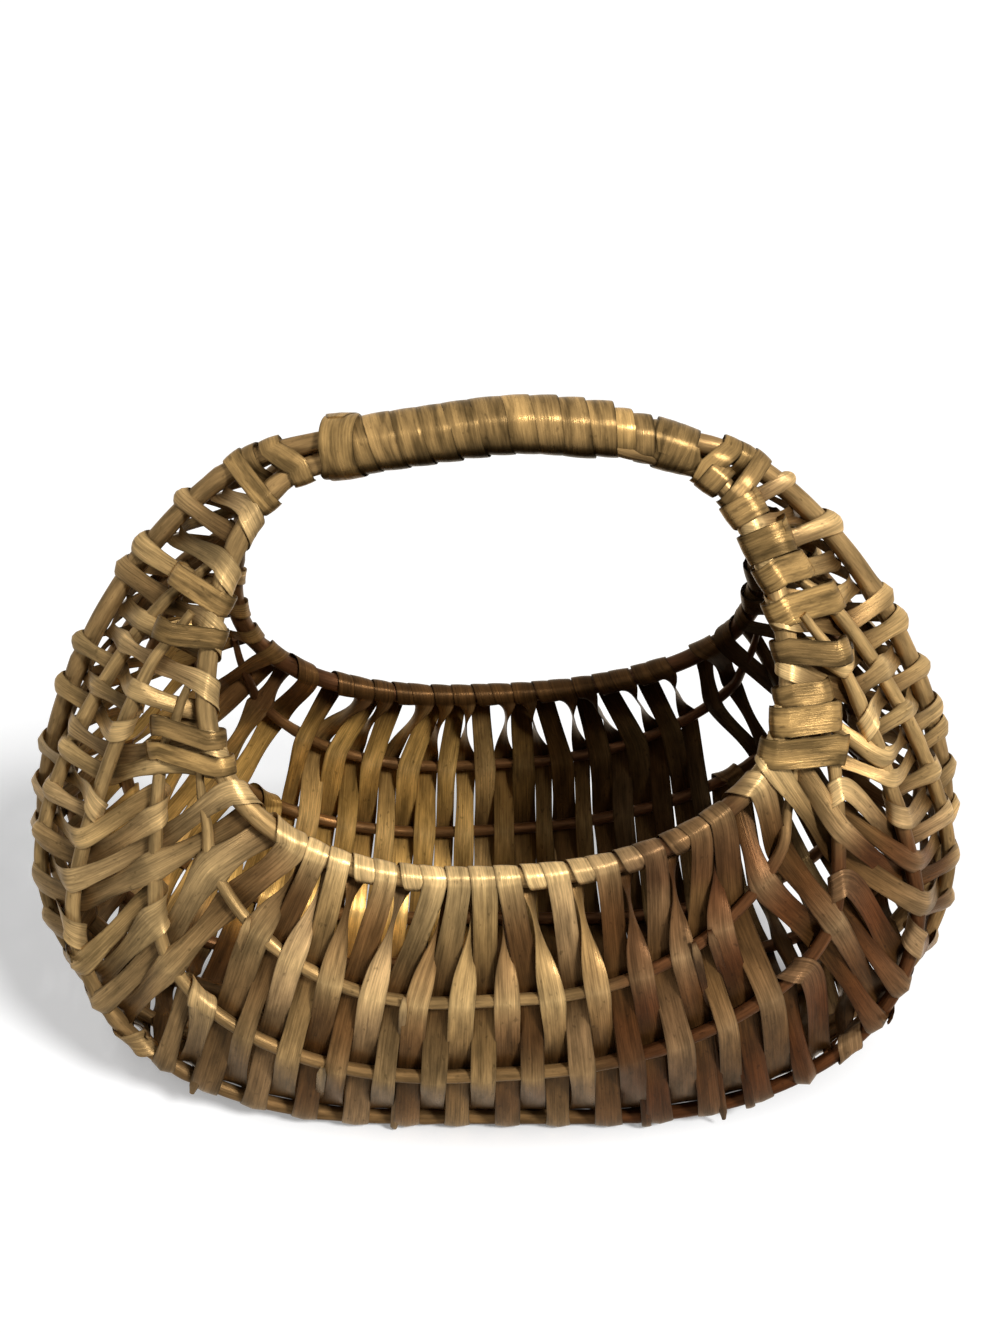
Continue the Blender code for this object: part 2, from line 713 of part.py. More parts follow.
def winding_stations():
    """The grip's strip: a flat helix round the bundle of three hoops, following the grip's arch."""
    spacing = HOOP_RADIUS + HOOP_GAP / 2
    reach = HOOP_RADIUS + SEAT_GAP + STRIP_THICK / 2
    half = GRIP_HALF - WINDING_MARGIN
    pitch = (2 * half) / (WINDING_TURNS + 1)
    across = (pitch - WINDING_GAP) / 2
    rise = spacing * BUNDLE_RISE_SHARE
    corners = ((-spacing, -rise), (spacing, -rise), (0.0, 0.0))
    per_turn = BUNDLE_RODS * WINDING_POINTS_PER_ROD
    step = 2 * math.pi / per_turn
    start = FRONT_RIM_DIRECTION - math.pi / BUNDLE_RODS
    stations = []
    for order in range(WINDING_TURNS * per_turn + 1):
        angle = start + step * (order + 0.5)
        corner = corners[(order // WINDING_POINTS_PER_ROD) % BUNDLE_RODS]
        x = -half + pitch / 2 + pitch * order / per_turn
        slope = -2 * GRIP_DROP * x / GRIP_HALF ** 2
        axis = Vector((1.0, 0.0, slope)).normalized()
        up = Vector((-axis.z, 0.0, axis.x))
        middle = Vector((x, 0.0, GRIP_TOP - GRIP_DROP * (x / GRIP_HALF) ** 2))
        radial = Vector((0.0, math.cos(angle), 0.0)) + up * math.sin(angle)
        spot = middle + Vector((0.0, corner[0], 0.0)) + up * corner[1] + radial * reach / math.cos(step / 2)
        stations.append(Station(spot, axis * across, radial))
    return stations


def least_gap(stations):
    """The least distance between a winding's edge and the edge of its next turn, read on its points."""
    per_turn = BUNDLE_RODS * WINDING_POINTS_PER_ROD
    gaps = []
    for station, following in zip(stations, stations[per_turn:]):
        gaps.append((following.center - following.across - station.center - station.across).length)
    return min(gaps)


def clear_scene():
    for thing in list(bpy.data.objects):
        bpy.data.objects.remove(thing, do_unlink=True)


def main():
    clear_scene()
    frame = Frame()
    hoop_willow = material("hoop_willow", HOOP_COLOR)
    rib_willow = material("rib_willow", RIB_COLOR)
    strip_willow = material("strip_willow", STRIP_COLOR)
    grip_willow = material("grip_willow", GRIP_COLOR)
    add_hoop("front_rim_hoop", frame, 0, hoop_willow)
    add_hoop("back_rim_hoop", frame, LAST, hoop_willow)
    add_hoop("keel_hoop", frame, LAST // 2, hoop_willow)
    for number in range(1, LAST // 2):
        add_rib(f"front_rib_{number}", frame, number, rib_willow)
        add_rib(f"back_rib_{number}", frame, LAST - number, rib_willow)
    winding = winding_stations()
    add_object("handle_winding", strip_mesh("handle_winding", winding), grip_willow)
    print("least gap between turns of the grip winding, mm:", round(least_gap(winding) * 1000, 3))
    for number, stations in enumerate(weave_strips(frame), 1):
        name = f"weaver_{number:02d}"
        add_object(name, strip_mesh(name, stations), strip_willow)


main()
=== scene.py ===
"""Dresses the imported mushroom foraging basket: willow rods, woven strips, the bound grip and a plain studio.

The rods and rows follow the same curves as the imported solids: a front and a back rim hoop, a keel hoop, four
ribs a side, and strips woven over and under them, row by row. All lengths are metres, with +X along the grip
and -Y to the front.
"""
import math
import random
from collections import namedtuple

import bpy
from mathutils import Matrix, Vector, noise


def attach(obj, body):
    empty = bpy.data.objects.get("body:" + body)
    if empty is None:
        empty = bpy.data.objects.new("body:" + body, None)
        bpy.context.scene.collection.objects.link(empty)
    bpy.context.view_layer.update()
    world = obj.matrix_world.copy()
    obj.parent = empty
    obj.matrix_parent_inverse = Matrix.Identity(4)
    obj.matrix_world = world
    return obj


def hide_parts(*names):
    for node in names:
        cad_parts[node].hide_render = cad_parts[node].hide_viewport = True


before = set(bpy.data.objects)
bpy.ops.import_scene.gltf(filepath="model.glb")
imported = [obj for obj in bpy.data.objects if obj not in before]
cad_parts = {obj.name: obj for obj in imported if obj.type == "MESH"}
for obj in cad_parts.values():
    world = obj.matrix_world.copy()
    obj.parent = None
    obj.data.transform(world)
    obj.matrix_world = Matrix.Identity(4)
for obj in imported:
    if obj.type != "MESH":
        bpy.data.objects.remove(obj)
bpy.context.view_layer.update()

bl_info = {
    "name": "Mushroom Foraging Basket",
    "version": (1, 0, 0),
    "blender": (4, 5, 0),
    "location": "View3D > Sidebar > Basket",
    "description": "Builds a willow frame basket over its packed solids",
    "category": "Object",
}

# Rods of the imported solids
SEAT_GAP = 0.00012
GRIP_HALF = 0.070
GRIP_TOP = 0.2865
GRIP_DROP = 0.0060
HOOP_GAP = 0.0003
CAD_HOOP_RADIUS = 0.0041
BUNDLE_RISE_SHARE = math.sqrt(3)

# The arch sits a little aslant: lower at its left shoulder, with its crest right of the middle
HANDLE_SLANT = 0.045
HANDLE_SAG = 0.0049
HANDLE_FADE_HEIGHTS = (0.20, 0.24)
HANDLE_FADE_LENGTH = 0.04
SAG_FADE_PLACES = (0.040, 0.075)

# Rim hoops
RIM_HALF_WIDTH = 0.112
RIM_WIDE_HEIGHT = 0.193
RIM_LOW_HEIGHT = 0.129
RIM_LEAN = 0.076
RIM_FLAT = 0.006

# Keel hoop
KEEL_HALF_WIDTH = 0.193
KEEL_WIDE_HEIGHT = 0.107
KEEL_LOW_HEIGHT = 0.00545
BASE_HALF_LENGTH = 0.060

# Ribs, from the one under the rim to the one beside the keel
RIB1_HALF_WIDTH = 0.118
RIB1_WIDE_HEIGHT = 0.168
RIB1_LOW_HEIGHT = 0.0825
RIB1_LEAN = 0.092
RIB2_HALF_WIDTH = 0.134
RIB2_WIDE_HEIGHT = 0.112
RIB2_LOW_HEIGHT = 0.045
RIB2_LEAN = 0.0915
RIB12_FLAT = 0.015
RIB12_TIP_X = 0.119
RIB12_TIP_HEIGHT = 0.197
RIB12_TIP_LEAN = 0.043
RIB3_HALF_WIDTH = 0.171
RIB3_WIDE_HEIGHT = 0.100
RIB3_LOW_HEIGHT = 0.00535
RIB3_LEAN = 0.072
RIB3_FLAT = 0.0385
RIB3_TIP_X = 0.114
RIB3_TIP_HEIGHT = 0.228
RIB3_TIP_LEAN = 0.035
RIB4_HALF_WIDTH = 0.1895
RIB4_WIDE_HEIGHT = 0.105
RIB4_LOW_HEIGHT = 0.00475
RIB4_LEAN = 0.035
RIB4_TIP_X = 0.084
RIB4_TIP_HEIGHT = 0.252
RIB4_TIP_LEAN = 0.0156
TUCK_SPAN = 0.0150

# Squareness of each curve below and above its widest point: 2 is an ellipse, more is squarer
RIM_SQUARE_SHARES = (2.17, 1.78)
KEEL_SQUARE_SHARES = (2.30, 1.57)
RIB1_SQUARE_SHARES = (2.04, 2.00)
RIB2_SQUARE_SHARES = (1.92, 1.90)
RIB3_SQUARE_SHARES = (2.25, 1.25)
RIB4_SQUARE_SHARES = (2.30, 1.42)
RIM_TILT_SHARE = 0.05
RIB1_TILT_SHARE = 0.07
RIB2_TILT_SHARE = 0.07

# Radii of the slimmest and the stoutest ribs as shares of a rib's usual radius
SLIM_RIB_SHARE = 0.9
STOUT_RIB_SHARE = 1.1

# Rows of the weave on each side of the middle
MIDDLE_ROWS = 12
CORNER_PAIRS = 10
CORNER_TURNS = ("rib2", "rib3", "rim")
UPPER_ROWS = 8
RIM_PITCH = 0.0079
RIB1_PITCH = 0.0088
RIB2_PITCH = 0.0099
RIB3_PITCH = 0.0107
RIB4_PITCH = 0.0111
KEEL_PITCH = 0.0114
CORNER_END_HEIGHT = 0.186
RIM_CORNER_END_HEIGHT = 0.197
RIM_LAST_X = 0.090
KEEL_LAST_X = 0.106
RIB_PULL_SHARE = 0.36
RIB_SPARE_SHARE = 0.5
LEAD_LIMIT_SHARE = 0.95
PASSES_PER_STRIP = 4
LEVEL_REACH_SHARE = 1.5

# Laps of the strip at each rim turn, from the middle of the rim out to the left (-1) and to the right (1)
WRAP_BAND = 0.0092
WRAP_GAP = 0.0003
ARRIVAL_SHARE = 0.25
FRONT_LAPS = {-1: (1, 1, 2, 2, 1, 1), 1: (1, 2, 2, 2, 2, 1)}
BACK_MIDDLE_LAPS = 2
BACK_LAPS = {-1: (1, 1, 2, 1, 2, 1), 1: (1, 2, 1, 2, 2, 1)}

# Steps of the members' curves, and the lengths over which they are smoothed and read
CURVE_STEPS = 240
GRIP_STEPS = 60
SMOOTH_REACH = 0.008
READ_STEP = 0.0015
TANGENT_REACH = 0.004

SEED = 41

Member = namedtuple(
    "Member", "name radius half_width wide_z low_z lean flat squares top_x top_z top_lean tilt pitch is_hoop")
MEMBER_NAMES = ("rim", "rib1", "rib2", "rib3", "rib4", "keel")
LAST = 2 * (len(MEMBER_NAMES) - 1)


def describe_members(sizes):
    """The six curves of the front half, from the rim to the keel."""
    bundle_half = CAD_HOOP_RADIUS + HOOP_GAP / 2
    keel_top = GRIP_TOP - GRIP_DROP
    rim_top = keel_top - bundle_half * BUNDLE_RISE_SHARE
    rib12_tip = (RIB12_TIP_X, RIB12_TIP_HEIGHT, RIB12_TIP_LEAN)
    rib3_tip = (RIB3_TIP_X, RIB3_TIP_HEIGHT, RIB3_TIP_LEAN)
    rib4_tip = (RIB4_TIP_X, RIB4_TIP_HEIGHT, RIB4_TIP_LEAN)
    hoop = sizes.hoop_radius
    rib = sizes.rib_radius
    return (
        Member("rim", hoop, RIM_HALF_WIDTH, RIM_WIDE_HEIGHT, RIM_LOW_HEIGHT, RIM_LEAN, RIM_FLAT,
               RIM_SQUARE_SHARES, GRIP_HALF, rim_top, bundle_half, RIM_TILT_SHARE, RIM_PITCH, True),
        Member("rib1", rib * SLIM_RIB_SHARE, RIB1_HALF_WIDTH, RIB1_WIDE_HEIGHT, RIB1_LOW_HEIGHT, RIB1_LEAN,
               RIB12_FLAT, RIB1_SQUARE_SHARES, *rib12_tip, RIB1_TILT_SHARE, RIB1_PITCH, False),
        Member("rib2", rib, RIB2_HALF_WIDTH, RIB2_WIDE_HEIGHT, RIB2_LOW_HEIGHT, RIB2_LEAN, RIB12_FLAT,
               RIB2_SQUARE_SHARES, *rib12_tip, RIB2_TILT_SHARE, RIB2_PITCH, False),
        Member("rib3", rib * STOUT_RIB_SHARE, RIB3_HALF_WIDTH, RIB3_WIDE_HEIGHT, RIB3_LOW_HEIGHT, RIB3_LEAN,
               RIB3_FLAT, RIB3_SQUARE_SHARES, *rib3_tip, 0.0, RIB3_PITCH, False),
        Member("rib4", rib * STOUT_RIB_SHARE, RIB4_HALF_WIDTH, RIB4_WIDE_HEIGHT, RIB4_LOW_HEIGHT, RIB4_LEAN,
               BASE_HALF_LENGTH, RIB4_SQUARE_SHARES, *rib4_tip, 0.0, RIB4_PITCH, False),
        Member("keel", hoop, KEEL_HALF_WIDTH, KEEL_WIDE_HEIGHT, KEEL_LOW_HEIGHT, 0.0, BASE_HALF_LENGTH,
               KEEL_SQUARE_SHARES, GRIP_HALF, keel_top, 0.0, 0.0, KEEL_PITCH, True),
    )


def power(value, exponent):
    """A power that takes the tiny negative cosine of a right angle as zero."""
    return max(value, 0.0) ** exponent


def half_curve(member):
    """Points of a member's right half as X and Z, from the middle of its base up to its tip or the grip."""
    low, high = member.squares
    points = [(0.0, member.low_z)]
    for step in range(CURVE_STEPS + 1):
        angle = math.pi / 2 * step / CURVE_STEPS
        x = member.flat + (member.half_width - member.flat) * power(math.sin(angle), 2 / low)
        z = member.wide_z - (member.wide_z - member.low_z) * power(math.cos(angle), 2 / low)
        points.append((x, z))
    for step in range(1, CURVE_STEPS + 1):
        angle = math.pi / 2 * step / CURVE_STEPS
        x = member.top_x + (member.half_width - member.top_x) * power(math.cos(angle), 2 / high)
        z = member.wide_z + (member.top_z - member.wide_z) * power(math.sin(angle), 2 / high)
        points.append((x, z))
    if member.is_hoop:
        for step in range(1, GRIP_STEPS + 1):
            share = 1 - step / GRIP_STEPS
            points.append((member.top_x * share, member.top_z + GRIP_DROP * (1 - share * share)))
    return points


def running_lengths(points):
    """The length along a line up to each of its points."""
    lengths = [0.0]
    for a, b in zip(points, points[1:]):
        lengths.append(lengths[-1] + (b - a).length)
    return lengths


def even_points(points, step):
    """The same line read at even steps of its length."""
    marks = running_lengths(points)
    count = round(marks[-1] / step)
    result = []
    index = 1
    for order in range(count):
        target = marks[-1] * order / count
        while marks[index] < target:
            index += 1
        share = (target - marks[index - 1]) / (marks[index] - marks[index - 1])
        result.append(points[index - 1].lerp(points[index], share))
    return result + [points[-1]]


def smoothed(points, reach, step):
    """Each point moved to the mean of its neighbours, less near the ends, so that bends start softly."""
    spread = max(1, round(reach / step))
    result = []
    for index, point in enumerate(points):
        near = min(spread, index, len(points) - 1 - index)
        window = points[index - near:index + near + 1]
        result.append(sum(window, Vector()) / len(window))
    return result


def smoothstep(low, high, value):
    """A soft rise from 0 at low to 1 at high; low may be the larger of the two."""
    t = min(1.0, max(0.0, (value - low) / (high - low)))
    return t * t * (3 - 2 * t)


def handle_lift(x, z):
    """How far the slanting handle lies above or below a level one."""
    beyond = smoothstep(GRIP_HALF, GRIP_HALF + HANDLE_FADE_LENGTH, abs(x))
    slope = HANDLE_SLANT * x - HANDLE_SAG * smoothstep(*SAG_FADE_PLACES, x)
    return smoothstep(*HANDLE_FADE_HEIGHTS, z) * (1 - beyond) * slope


class Rod:
    """A member's axis, read by length from the middle of the base."""

    def __init__(self, member):
        flat = [Vector((x, 0.0, z)) for x, z in half_curve(member)]
        flat = smoothed(even_points(flat, READ_STEP), SMOOTH_REACH, READ_STEP)
        self.member = member
        self.points = []
        for point in flat:
            share = min(1.0, max(0.0, (member.top_z - point.z) / (member.top_z - member.low_z)))
            lean = member.top_lean + (member.lean - member.top_lean) * share
            self.points.append(Vector((point.x, -lean, point.z)))
        self.lengths = running_lengths(self.points)
        self.end = self.lengths[-1]

    def at(self, length):
        """The axis point at a length: to the right where it is positive, mirrored to the left where not."""
        distance = min(abs(length), self.end)
        index = min(len(self.points) - 1, max(1, math.ceil(distance / READ_STEP)))
        while index > 1 and self.lengths[index - 1] > distance:
            index -= 1
        while index < len(self.lengths) - 1 and self.lengths[index] < distance:
            index += 1
        span = self.lengths[index] - self.lengths[index - 1]
        point = self.points[index - 1].lerp(self.points[index], (distance - self.lengths[index - 1]) / span)
        x = math.copysign(point.x, length)
        low_share = (self.member.top_z - point.z) / (self.member.top_z - self.member.low_z)
        lift = handle_lift(x, point.z)
        return Vector((x, point.y, point.z + self.member.tilt * x * max(0.0, low_share) + lift))

    def tangent(self, length):
        """Direction along the axis, from left to right."""
        return (self.at(length + TANGENT_REACH) - self.at(length - TANGENT_REACH)).normalized()

    def length_where(self, test):
        """The first length, from the middle of the base, at which a test of the axis point holds."""
        length = 0.0
        while length < self.end and not test(self.at(length)):
            length += READ_STEP
        return length


def mirror_y(vector):
    """The same place or way on the other side of the middle plane."""
    return Vector((vector.x, -vector.y, vector.z))


def folded(index):
    """The front half's member that member 0 to LAST is or mirrors."""
    return min(index, LAST - index)


class Skeleton:
    """All eleven members, front rim to back rim, with the places where the rows of weave cross them."""

    def __init__(self, sizes):
        self.members = describe_members(sizes)
        self.rods = [Rod(member) for member in self.members]
        self.rib_ends = {}
        self.rim_limits = {}
        self.rim_marks = self.rim_places()
        self.find_rib_ends()
        self.turns = [self.pair_turns(shift) for shift in (0, 1)]
        self.places = {}
        for index in reversed(range(len(self.members))):
            self.places[index] = self.member_places(index)
        self.wrap_rims()
        self.find_rooms()

    def pair_turns(self, shift):
        """The member that each pair of rows turns round; shift is 0 at the front and 1 at the back."""
        corner = [CORNER_TURNS[pair % len(CORNER_TURNS)] for pair in range(CORNER_PAIRS)]
        names = ["rim"] * (MIDDLE_ROWS // 2) + corner + ["rim"] * (UPPER_ROWS // 2 + 1)
        turns = []
        for pair, name in enumerate(names):
            turn = MEMBER_NAMES.index(name)
            mark = self.rim_marks[min(2 * pair + 1 - shift, self.rows - 1)]
            while turn in self.rim_limits and mark >= self.rim_limits[turn]:
                turn += 1
            turns.append(turn)
        return turns

    @property
    def rows(self):
        """Rows on each side of the middle."""
        return MIDDLE_ROWS + 2 * CORNER_PAIRS + UPPER_ROWS

    def zone_marks(self, index):
        """Lengths at which the middle ends, the corner ends and the last row ends on a member."""
        rod = self.rods[index]
        name = self.members[index].name
        middle = MIDDLE_ROWS * self.members[index].pitch
        corner_height = RIM_CORNER_END_HEIGHT if name == "rim" else CORNER_END_HEIGHT
        last_x = RIM_LAST_X if name == "rim" else KEEL_LAST_X
        corner = rod.length_where(lambda p: p.z > corner_height)
        last = rod.length_where(lambda p: p.z > RIM_WIDE_HEIGHT and p.x < last_x)
        last = self.rib_ends.get(index, last)
        return middle, min(corner, last), last

    def rim_places(self):
        """Where each row meets the rim, or would meet it if it weren't short."""
        middle, corner, last = self.zone_marks(0)
        marks = []
        for row in range(self.rows):
            if row < MIDDLE_ROWS:
                marks.append(middle * (row + 0.5) / MIDDLE_ROWS)
            elif row < self.rows - UPPER_ROWS:
                share = (row - MIDDLE_ROWS + 0.5) / (2 * CORNER_PAIRS)
                marks.append(middle + (corner - middle) * share)
            else:
                share = (row - (self.rows - UPPER_ROWS) + 0.5) / UPPER_ROWS
                marks.append(corner + (last - corner) * share)
        return marks

    def find_rib_ends(self):
        """A rib stops where it comes close to the rim, and no row past that point of the rim crosses it."""
        rim = self.rods[0]
        rim_points = [rim.at(step * READ_STEP) for step in range(int(rim.end / READ_STEP))]
        for index in range(1, len(self.members) - 1):
            rod = self.rods[index]

            def tucks_in(point):
                return min((point - other).length for other in rim_points) < TUCK_SPAN

            end = rod.length_where(tucks_in)
            tip = rod.at(end)
            nearest = min(range(len(rim_points)), key=lambda i: (rim_points[i] - tip).length)
            self.rib_ends[index] = end
            self.rim_limits[index] = nearest * READ_STEP

    def crosses(self, row, index, shift):
        """Whether a row reaches a member; shift is 0 at the front and 1 at the back."""
        turn = self.turns[shift][(row + shift) // 2]
        if index <= turn:
            return index == turn
        if index in self.rim_limits:
            return self.rim_marks[row] < self.rim_limits[index]
        return True

    def member_places(self, index):
        """For the front and for the back, a table of each crossing row's length along a member."""
        tables = []
        for shift in (0, 1):
            middle, corner, last = self.zone_marks(index)
            spare = 0.0
            if index in self.rim_limits:
                last = self.passed_by(index, shift)
                corner = min(corner, last)
                spare = RIB_SPARE_SHARE
            places = {}
            zones = ((0, MIDDLE_ROWS, 0.0, middle),
                     (MIDDLE_ROWS, self.rows - UPPER_ROWS, middle, corner),
                     (self.rows - UPPER_ROWS, self.rows, corner, last))
            for first, stop, start, finish in zones:
                rows = [row for row in range(first, stop) if self.crosses(row, index, shift)]
                room = len(rows) + (spare if finish == last else 0.0)
                for order, row in enumerate(rows):
                    even = (order + 0.5) / room
                    drawn = (row - first + 0.5) / (stop - first)
                    share = even + (drawn - even) * RIB_PULL_SHARE if spare else even
                    places[row] = start + (finish - start) * share
            tables.append(places)
        return tables

    def passed_by(self, index, shift):
        """Length on a rib where the first row that reaches the rim but not this rib passes it."""
        limit = self.rim_limits[index]
        row = next(row for row in range(self.rows)
                   if self.turns[shift][(row + shift) // 2] == 0 and self.rim_marks[row] >= limit)
        beyond = min(other for other in self.places if row in self.places[other][shift])
        start = self.rods[0].at(self.rim_marks[row])
        finish = self.rods[beyond].at(self.places[beyond][shift][row])
        rod = self.rods[index]
        chord = finish - start

        def distance(length):
            offset = rod.at(length) - start
            share = min(1.0, max(0.0, offset.dot(chord) / chord.length_squared))
            return (offset - chord * share).length

        return min((step * READ_STEP for step in range(int(rod.end / READ_STEP))), key=distance)

    def wrap_rims(self):
        """Where the middle rows meet each rim: wraps side by side, in turns of one lap or two."""
        self.wraps = {0: {}, LAST: {}}
        self.laps = {0: {}, LAST: {}}
        for side in (-1, 1):
            edge = 0.0
            for pair, laps in enumerate(FRONT_LAPS[side]):
                edge = self.wrap_turn(0, side, (2 * pair, 2 * pair + 1), edge, laps)
            self.wraps[0]["end", side] = edge
            edge = (BACK_MIDDLE_LAPS * WRAP_BAND + WRAP_GAP) / 2
            first_share = ARRIVAL_SHARE if side < 0 else 0.5
            self.wraps[LAST][0, side] = side * (edge - WRAP_BAND * first_share)
            self.laps[LAST][0, side] = BACK_MIDDLE_LAPS
            for pair, laps in enumerate(BACK_LAPS[side]):
                edge = self.wrap_turn(LAST, side, (2 * pair + 1, 2 * pair + 2), edge, laps)
            self.wraps[LAST]["end", side] = edge

    def wrap_turn(self, index, side, rows, edge, laps):
        """Places the two rows of one rim turn outward from an edge and returns the next turn's edge."""
        far = edge + laps * WRAP_BAND + WRAP_GAP
        near_share, far_share = (ARRIVAL_SHARE, 0.5) if side > 0 else (0.5, ARRIVAL_SHARE)
        self.wraps[index][rows[0], side] = side * (edge + WRAP_BAND * near_share)
        self.wraps[index][rows[1], side] = side * (far - WRAP_BAND * far_share)
        for row in rows:
            self.laps[index][row, side] = laps
        return far

    def place(self, row, side, index):
        """Signed length at which a row crosses member 0 to LAST, or None; side is 1 right, -1 left."""
        back = index > LAST // 2
        table = self.places[folded(index)][1 if back else 0]
        if row not in table:
            return None
        if index in self.wraps:
            known = self.wraps[index].get((row, side))
            if known is not None:
                return known
            middle, corner, last = self.zone_marks(0)
            start = self.wraps[index]["end", side]
            return side * (start + (table[row] - middle) * (last - start) / (last - middle))
        return side * table[row]

    def point(self, index, length):
        """Axis point of member 0 to LAST at a length."""
        point = self.rods[folded(index)].at(length)
        return mirror_y(point) if index > LAST // 2 else point

    def tangent(self, index, length):
        """Direction of member 0 to LAST at a length, from left to right."""
        tangent = self.rods[folded(index)].tangent(length)
        return mirror_y(tangent) if index > LAST // 2 else tangent

    def radius(self, index):
        """Radius of member 0 to LAST."""
        return self.members[folded(index)].radius

    def find_rooms(self):
        """The lengths of all crossings on each member, in order."""
        self.marks = {}
        for index in range(LAST + 1):
            marks = [self.place(row, side, index) for row in range(self.rows) for side in (-1, 1)]
            self.marks[index] = sorted(mark for mark in marks if mark is not None)

    def room(self, index, length):
        """Mean distance from a crossing to the ones beside it on the same member."""
        marks = self.marks[index]
        order = min(range(len(marks)), key=lambda i: abs(marks[i] - length))
        low = max(0, order - 1)
        high = min(len(marks) - 1, order + 1)
        return (marks[high] - marks[low]) / (high - low)


# One cross-section of a strip: half is half its width, cup how far its edges curl outwards, tone its colour,
# and its share of painted light is 1 for a painted highlight where it bends out over a rod, -1 for painted
# shade behind one
Section = namedtuple("Section", "center across half cup wear tone")

# How spans and turns are stepped and shaped
SPAN_STEP = 0.0022
LOOK_AHEAD_SHARE = 0.01
ARC_STEP = math.radians(15)
SLOPE_SHARE = 0.55
STEEPEST_LEAD_SHARE = 0.8
SETTLE_ANGLE = 0.6
TURN_SLACK = 0.0002
HOOK_FADE_HEIGHTS = (0.02, 0.08)

# Where a strip passes a rod: its middle, its ways ahead and across, half its width, its curl and its share of
# painted light
Spot = namedtuple("Spot", "point ahead across half cup wear")


def outward_at(skeleton, index, length, before, after):
    """The axis point, the tangent, the wall's way and the outward way at a crossing between two points."""
    center = skeleton.point(index, length)
    tangent = skeleton.tangent(index, length)
    wall = Vector()
    if before is not None:
        step = center - before
        wall += (step - tangent * step.dot(tangent)).normalized()
    if after is not None:
        step = after - center
        wall += (step - tangent * step.dot(tangent)).normalized()
    wall.normalize()
    return center, tangent, wall, wall.cross(tangent).normalized()


def is_level(index, length, sizes):
    """Whether a crossing lies under the flat of the base."""
    reach = BASE_HALF_LENGTH + sizes.strip_width * LEVEL_REACH_SHARE
    return abs(index - LAST // 2) <= 1 and abs(length) < reach


def crossing(skeleton, index, length, side, before, after, forward, half, cup, sizes):
    """A strip's spot on the outside (side 1) or the inside (-1) of a rod; forward is from front to back."""
    pair = (before, after) if forward else (after, before)
    center, tangent, wall, outward = outward_at(skeleton, index, length, *pair)
    ahead = Vector()
    if before is not None:
        ahead += (center - before).normalized()
    if after is not None:
        ahead += (after - center).normalized()
    if is_level(index, length, sizes):
        outward = Vector((0.0, 0.0, -1.0))
    ahead = (ahead - outward * ahead.dot(outward)).normalized()
    across = (tangent - ahead * tangent.dot(ahead)).normalized()
    reach = skeleton.radius(index) + SEAT_GAP + sizes.strip_thickness / 2
    if index == LAST // 2 and side > 0:
        start, full = (KEEL_LOW_HEIGHT + height for height in HOOK_FADE_HEIGHTS)
        reach += sizes.hook_slack * smoothstep(start, full, center.z)
    # The side sets the share of painted light: a painted highlight outside the rod, painted shade inside it
    return Spot(center + outward * side * reach, ahead, across, half, cup, side)


def turn_spots(skeleton, index, ends, neighbours, side, front, laps, half, sizes):
    """A strip's way round a rod and back: a list of middles, directions across and half widths."""
    reach = skeleton.radius(index) + SEAT_GAP + sizes.strip_thickness / 2 + TURN_SLACK
    leads = []
    walls = []
    slants = []
    for order, (length, neighbour) in enumerate(zip(ends, neighbours)):
        before, after = (None, neighbour) if front else (neighbour, None)
        center, tangent, wall, outward = outward_at(skeleton, index, length, before, after)
        step = neighbour - center if order else center - neighbour
        along = step.dot(tangent)
        span = (step - tangent * along).length
        leads.append(math.asin(min(LEAD_LIMIT_SHARE, 2 * reach / span)))
        walls.append(wall)
        slants.append(max(-STEEPEST_LEAD_SHARE, min(STEEPEST_LEAD_SHARE, along / span)))
    total = math.pi * (2 * laps - 1) + sum(leads)
    count = round(total / ARC_STEP)
    advance = (ends[1] - ends[0]) / total
    sections = []
    for order in range(count + 1):
        angle = total * order / count
        rest = total - angle
        length = ends[0] + advance * angle
        length += (reach * slants[0] - advance) * angle * math.exp(-angle / SETTLE_ANGLE)
        length -= (reach * slants[1] - advance) * rest * math.exp(-rest / SETTLE_ANGLE)
        tangent = skeleton.tangent(index, length)
        wall = walls[0].lerp(walls[1], order / count)
        wall = (wall - tangent * wall.dot(tangent)).normalized()
        outward = wall.cross(tangent)
        away = -wall if front else wall
        turned = angle - leads[0]
        radial = outward * side * math.cos(turned) + away * math.sin(turned)
        across = (tangent - radial * math.tan(sizes.shingle_angle)).normalized()
        sections.append((skeleton.point(index, length) + radial * reach, across, half))
    return sections


def hermite(a, b, slope_a, slope_b, t):
    """A smooth way from a to b that starts and ends in the slopes' directions."""
    t2 = t * t
    t3 = t2 * t
    return (a * (2 * t3 - 3 * t2 + 1) + slope_a * (t3 - 2 * t2 + t)
            + b * (3 * t2 - 2 * t3) + slope_b * (t3 - t2))


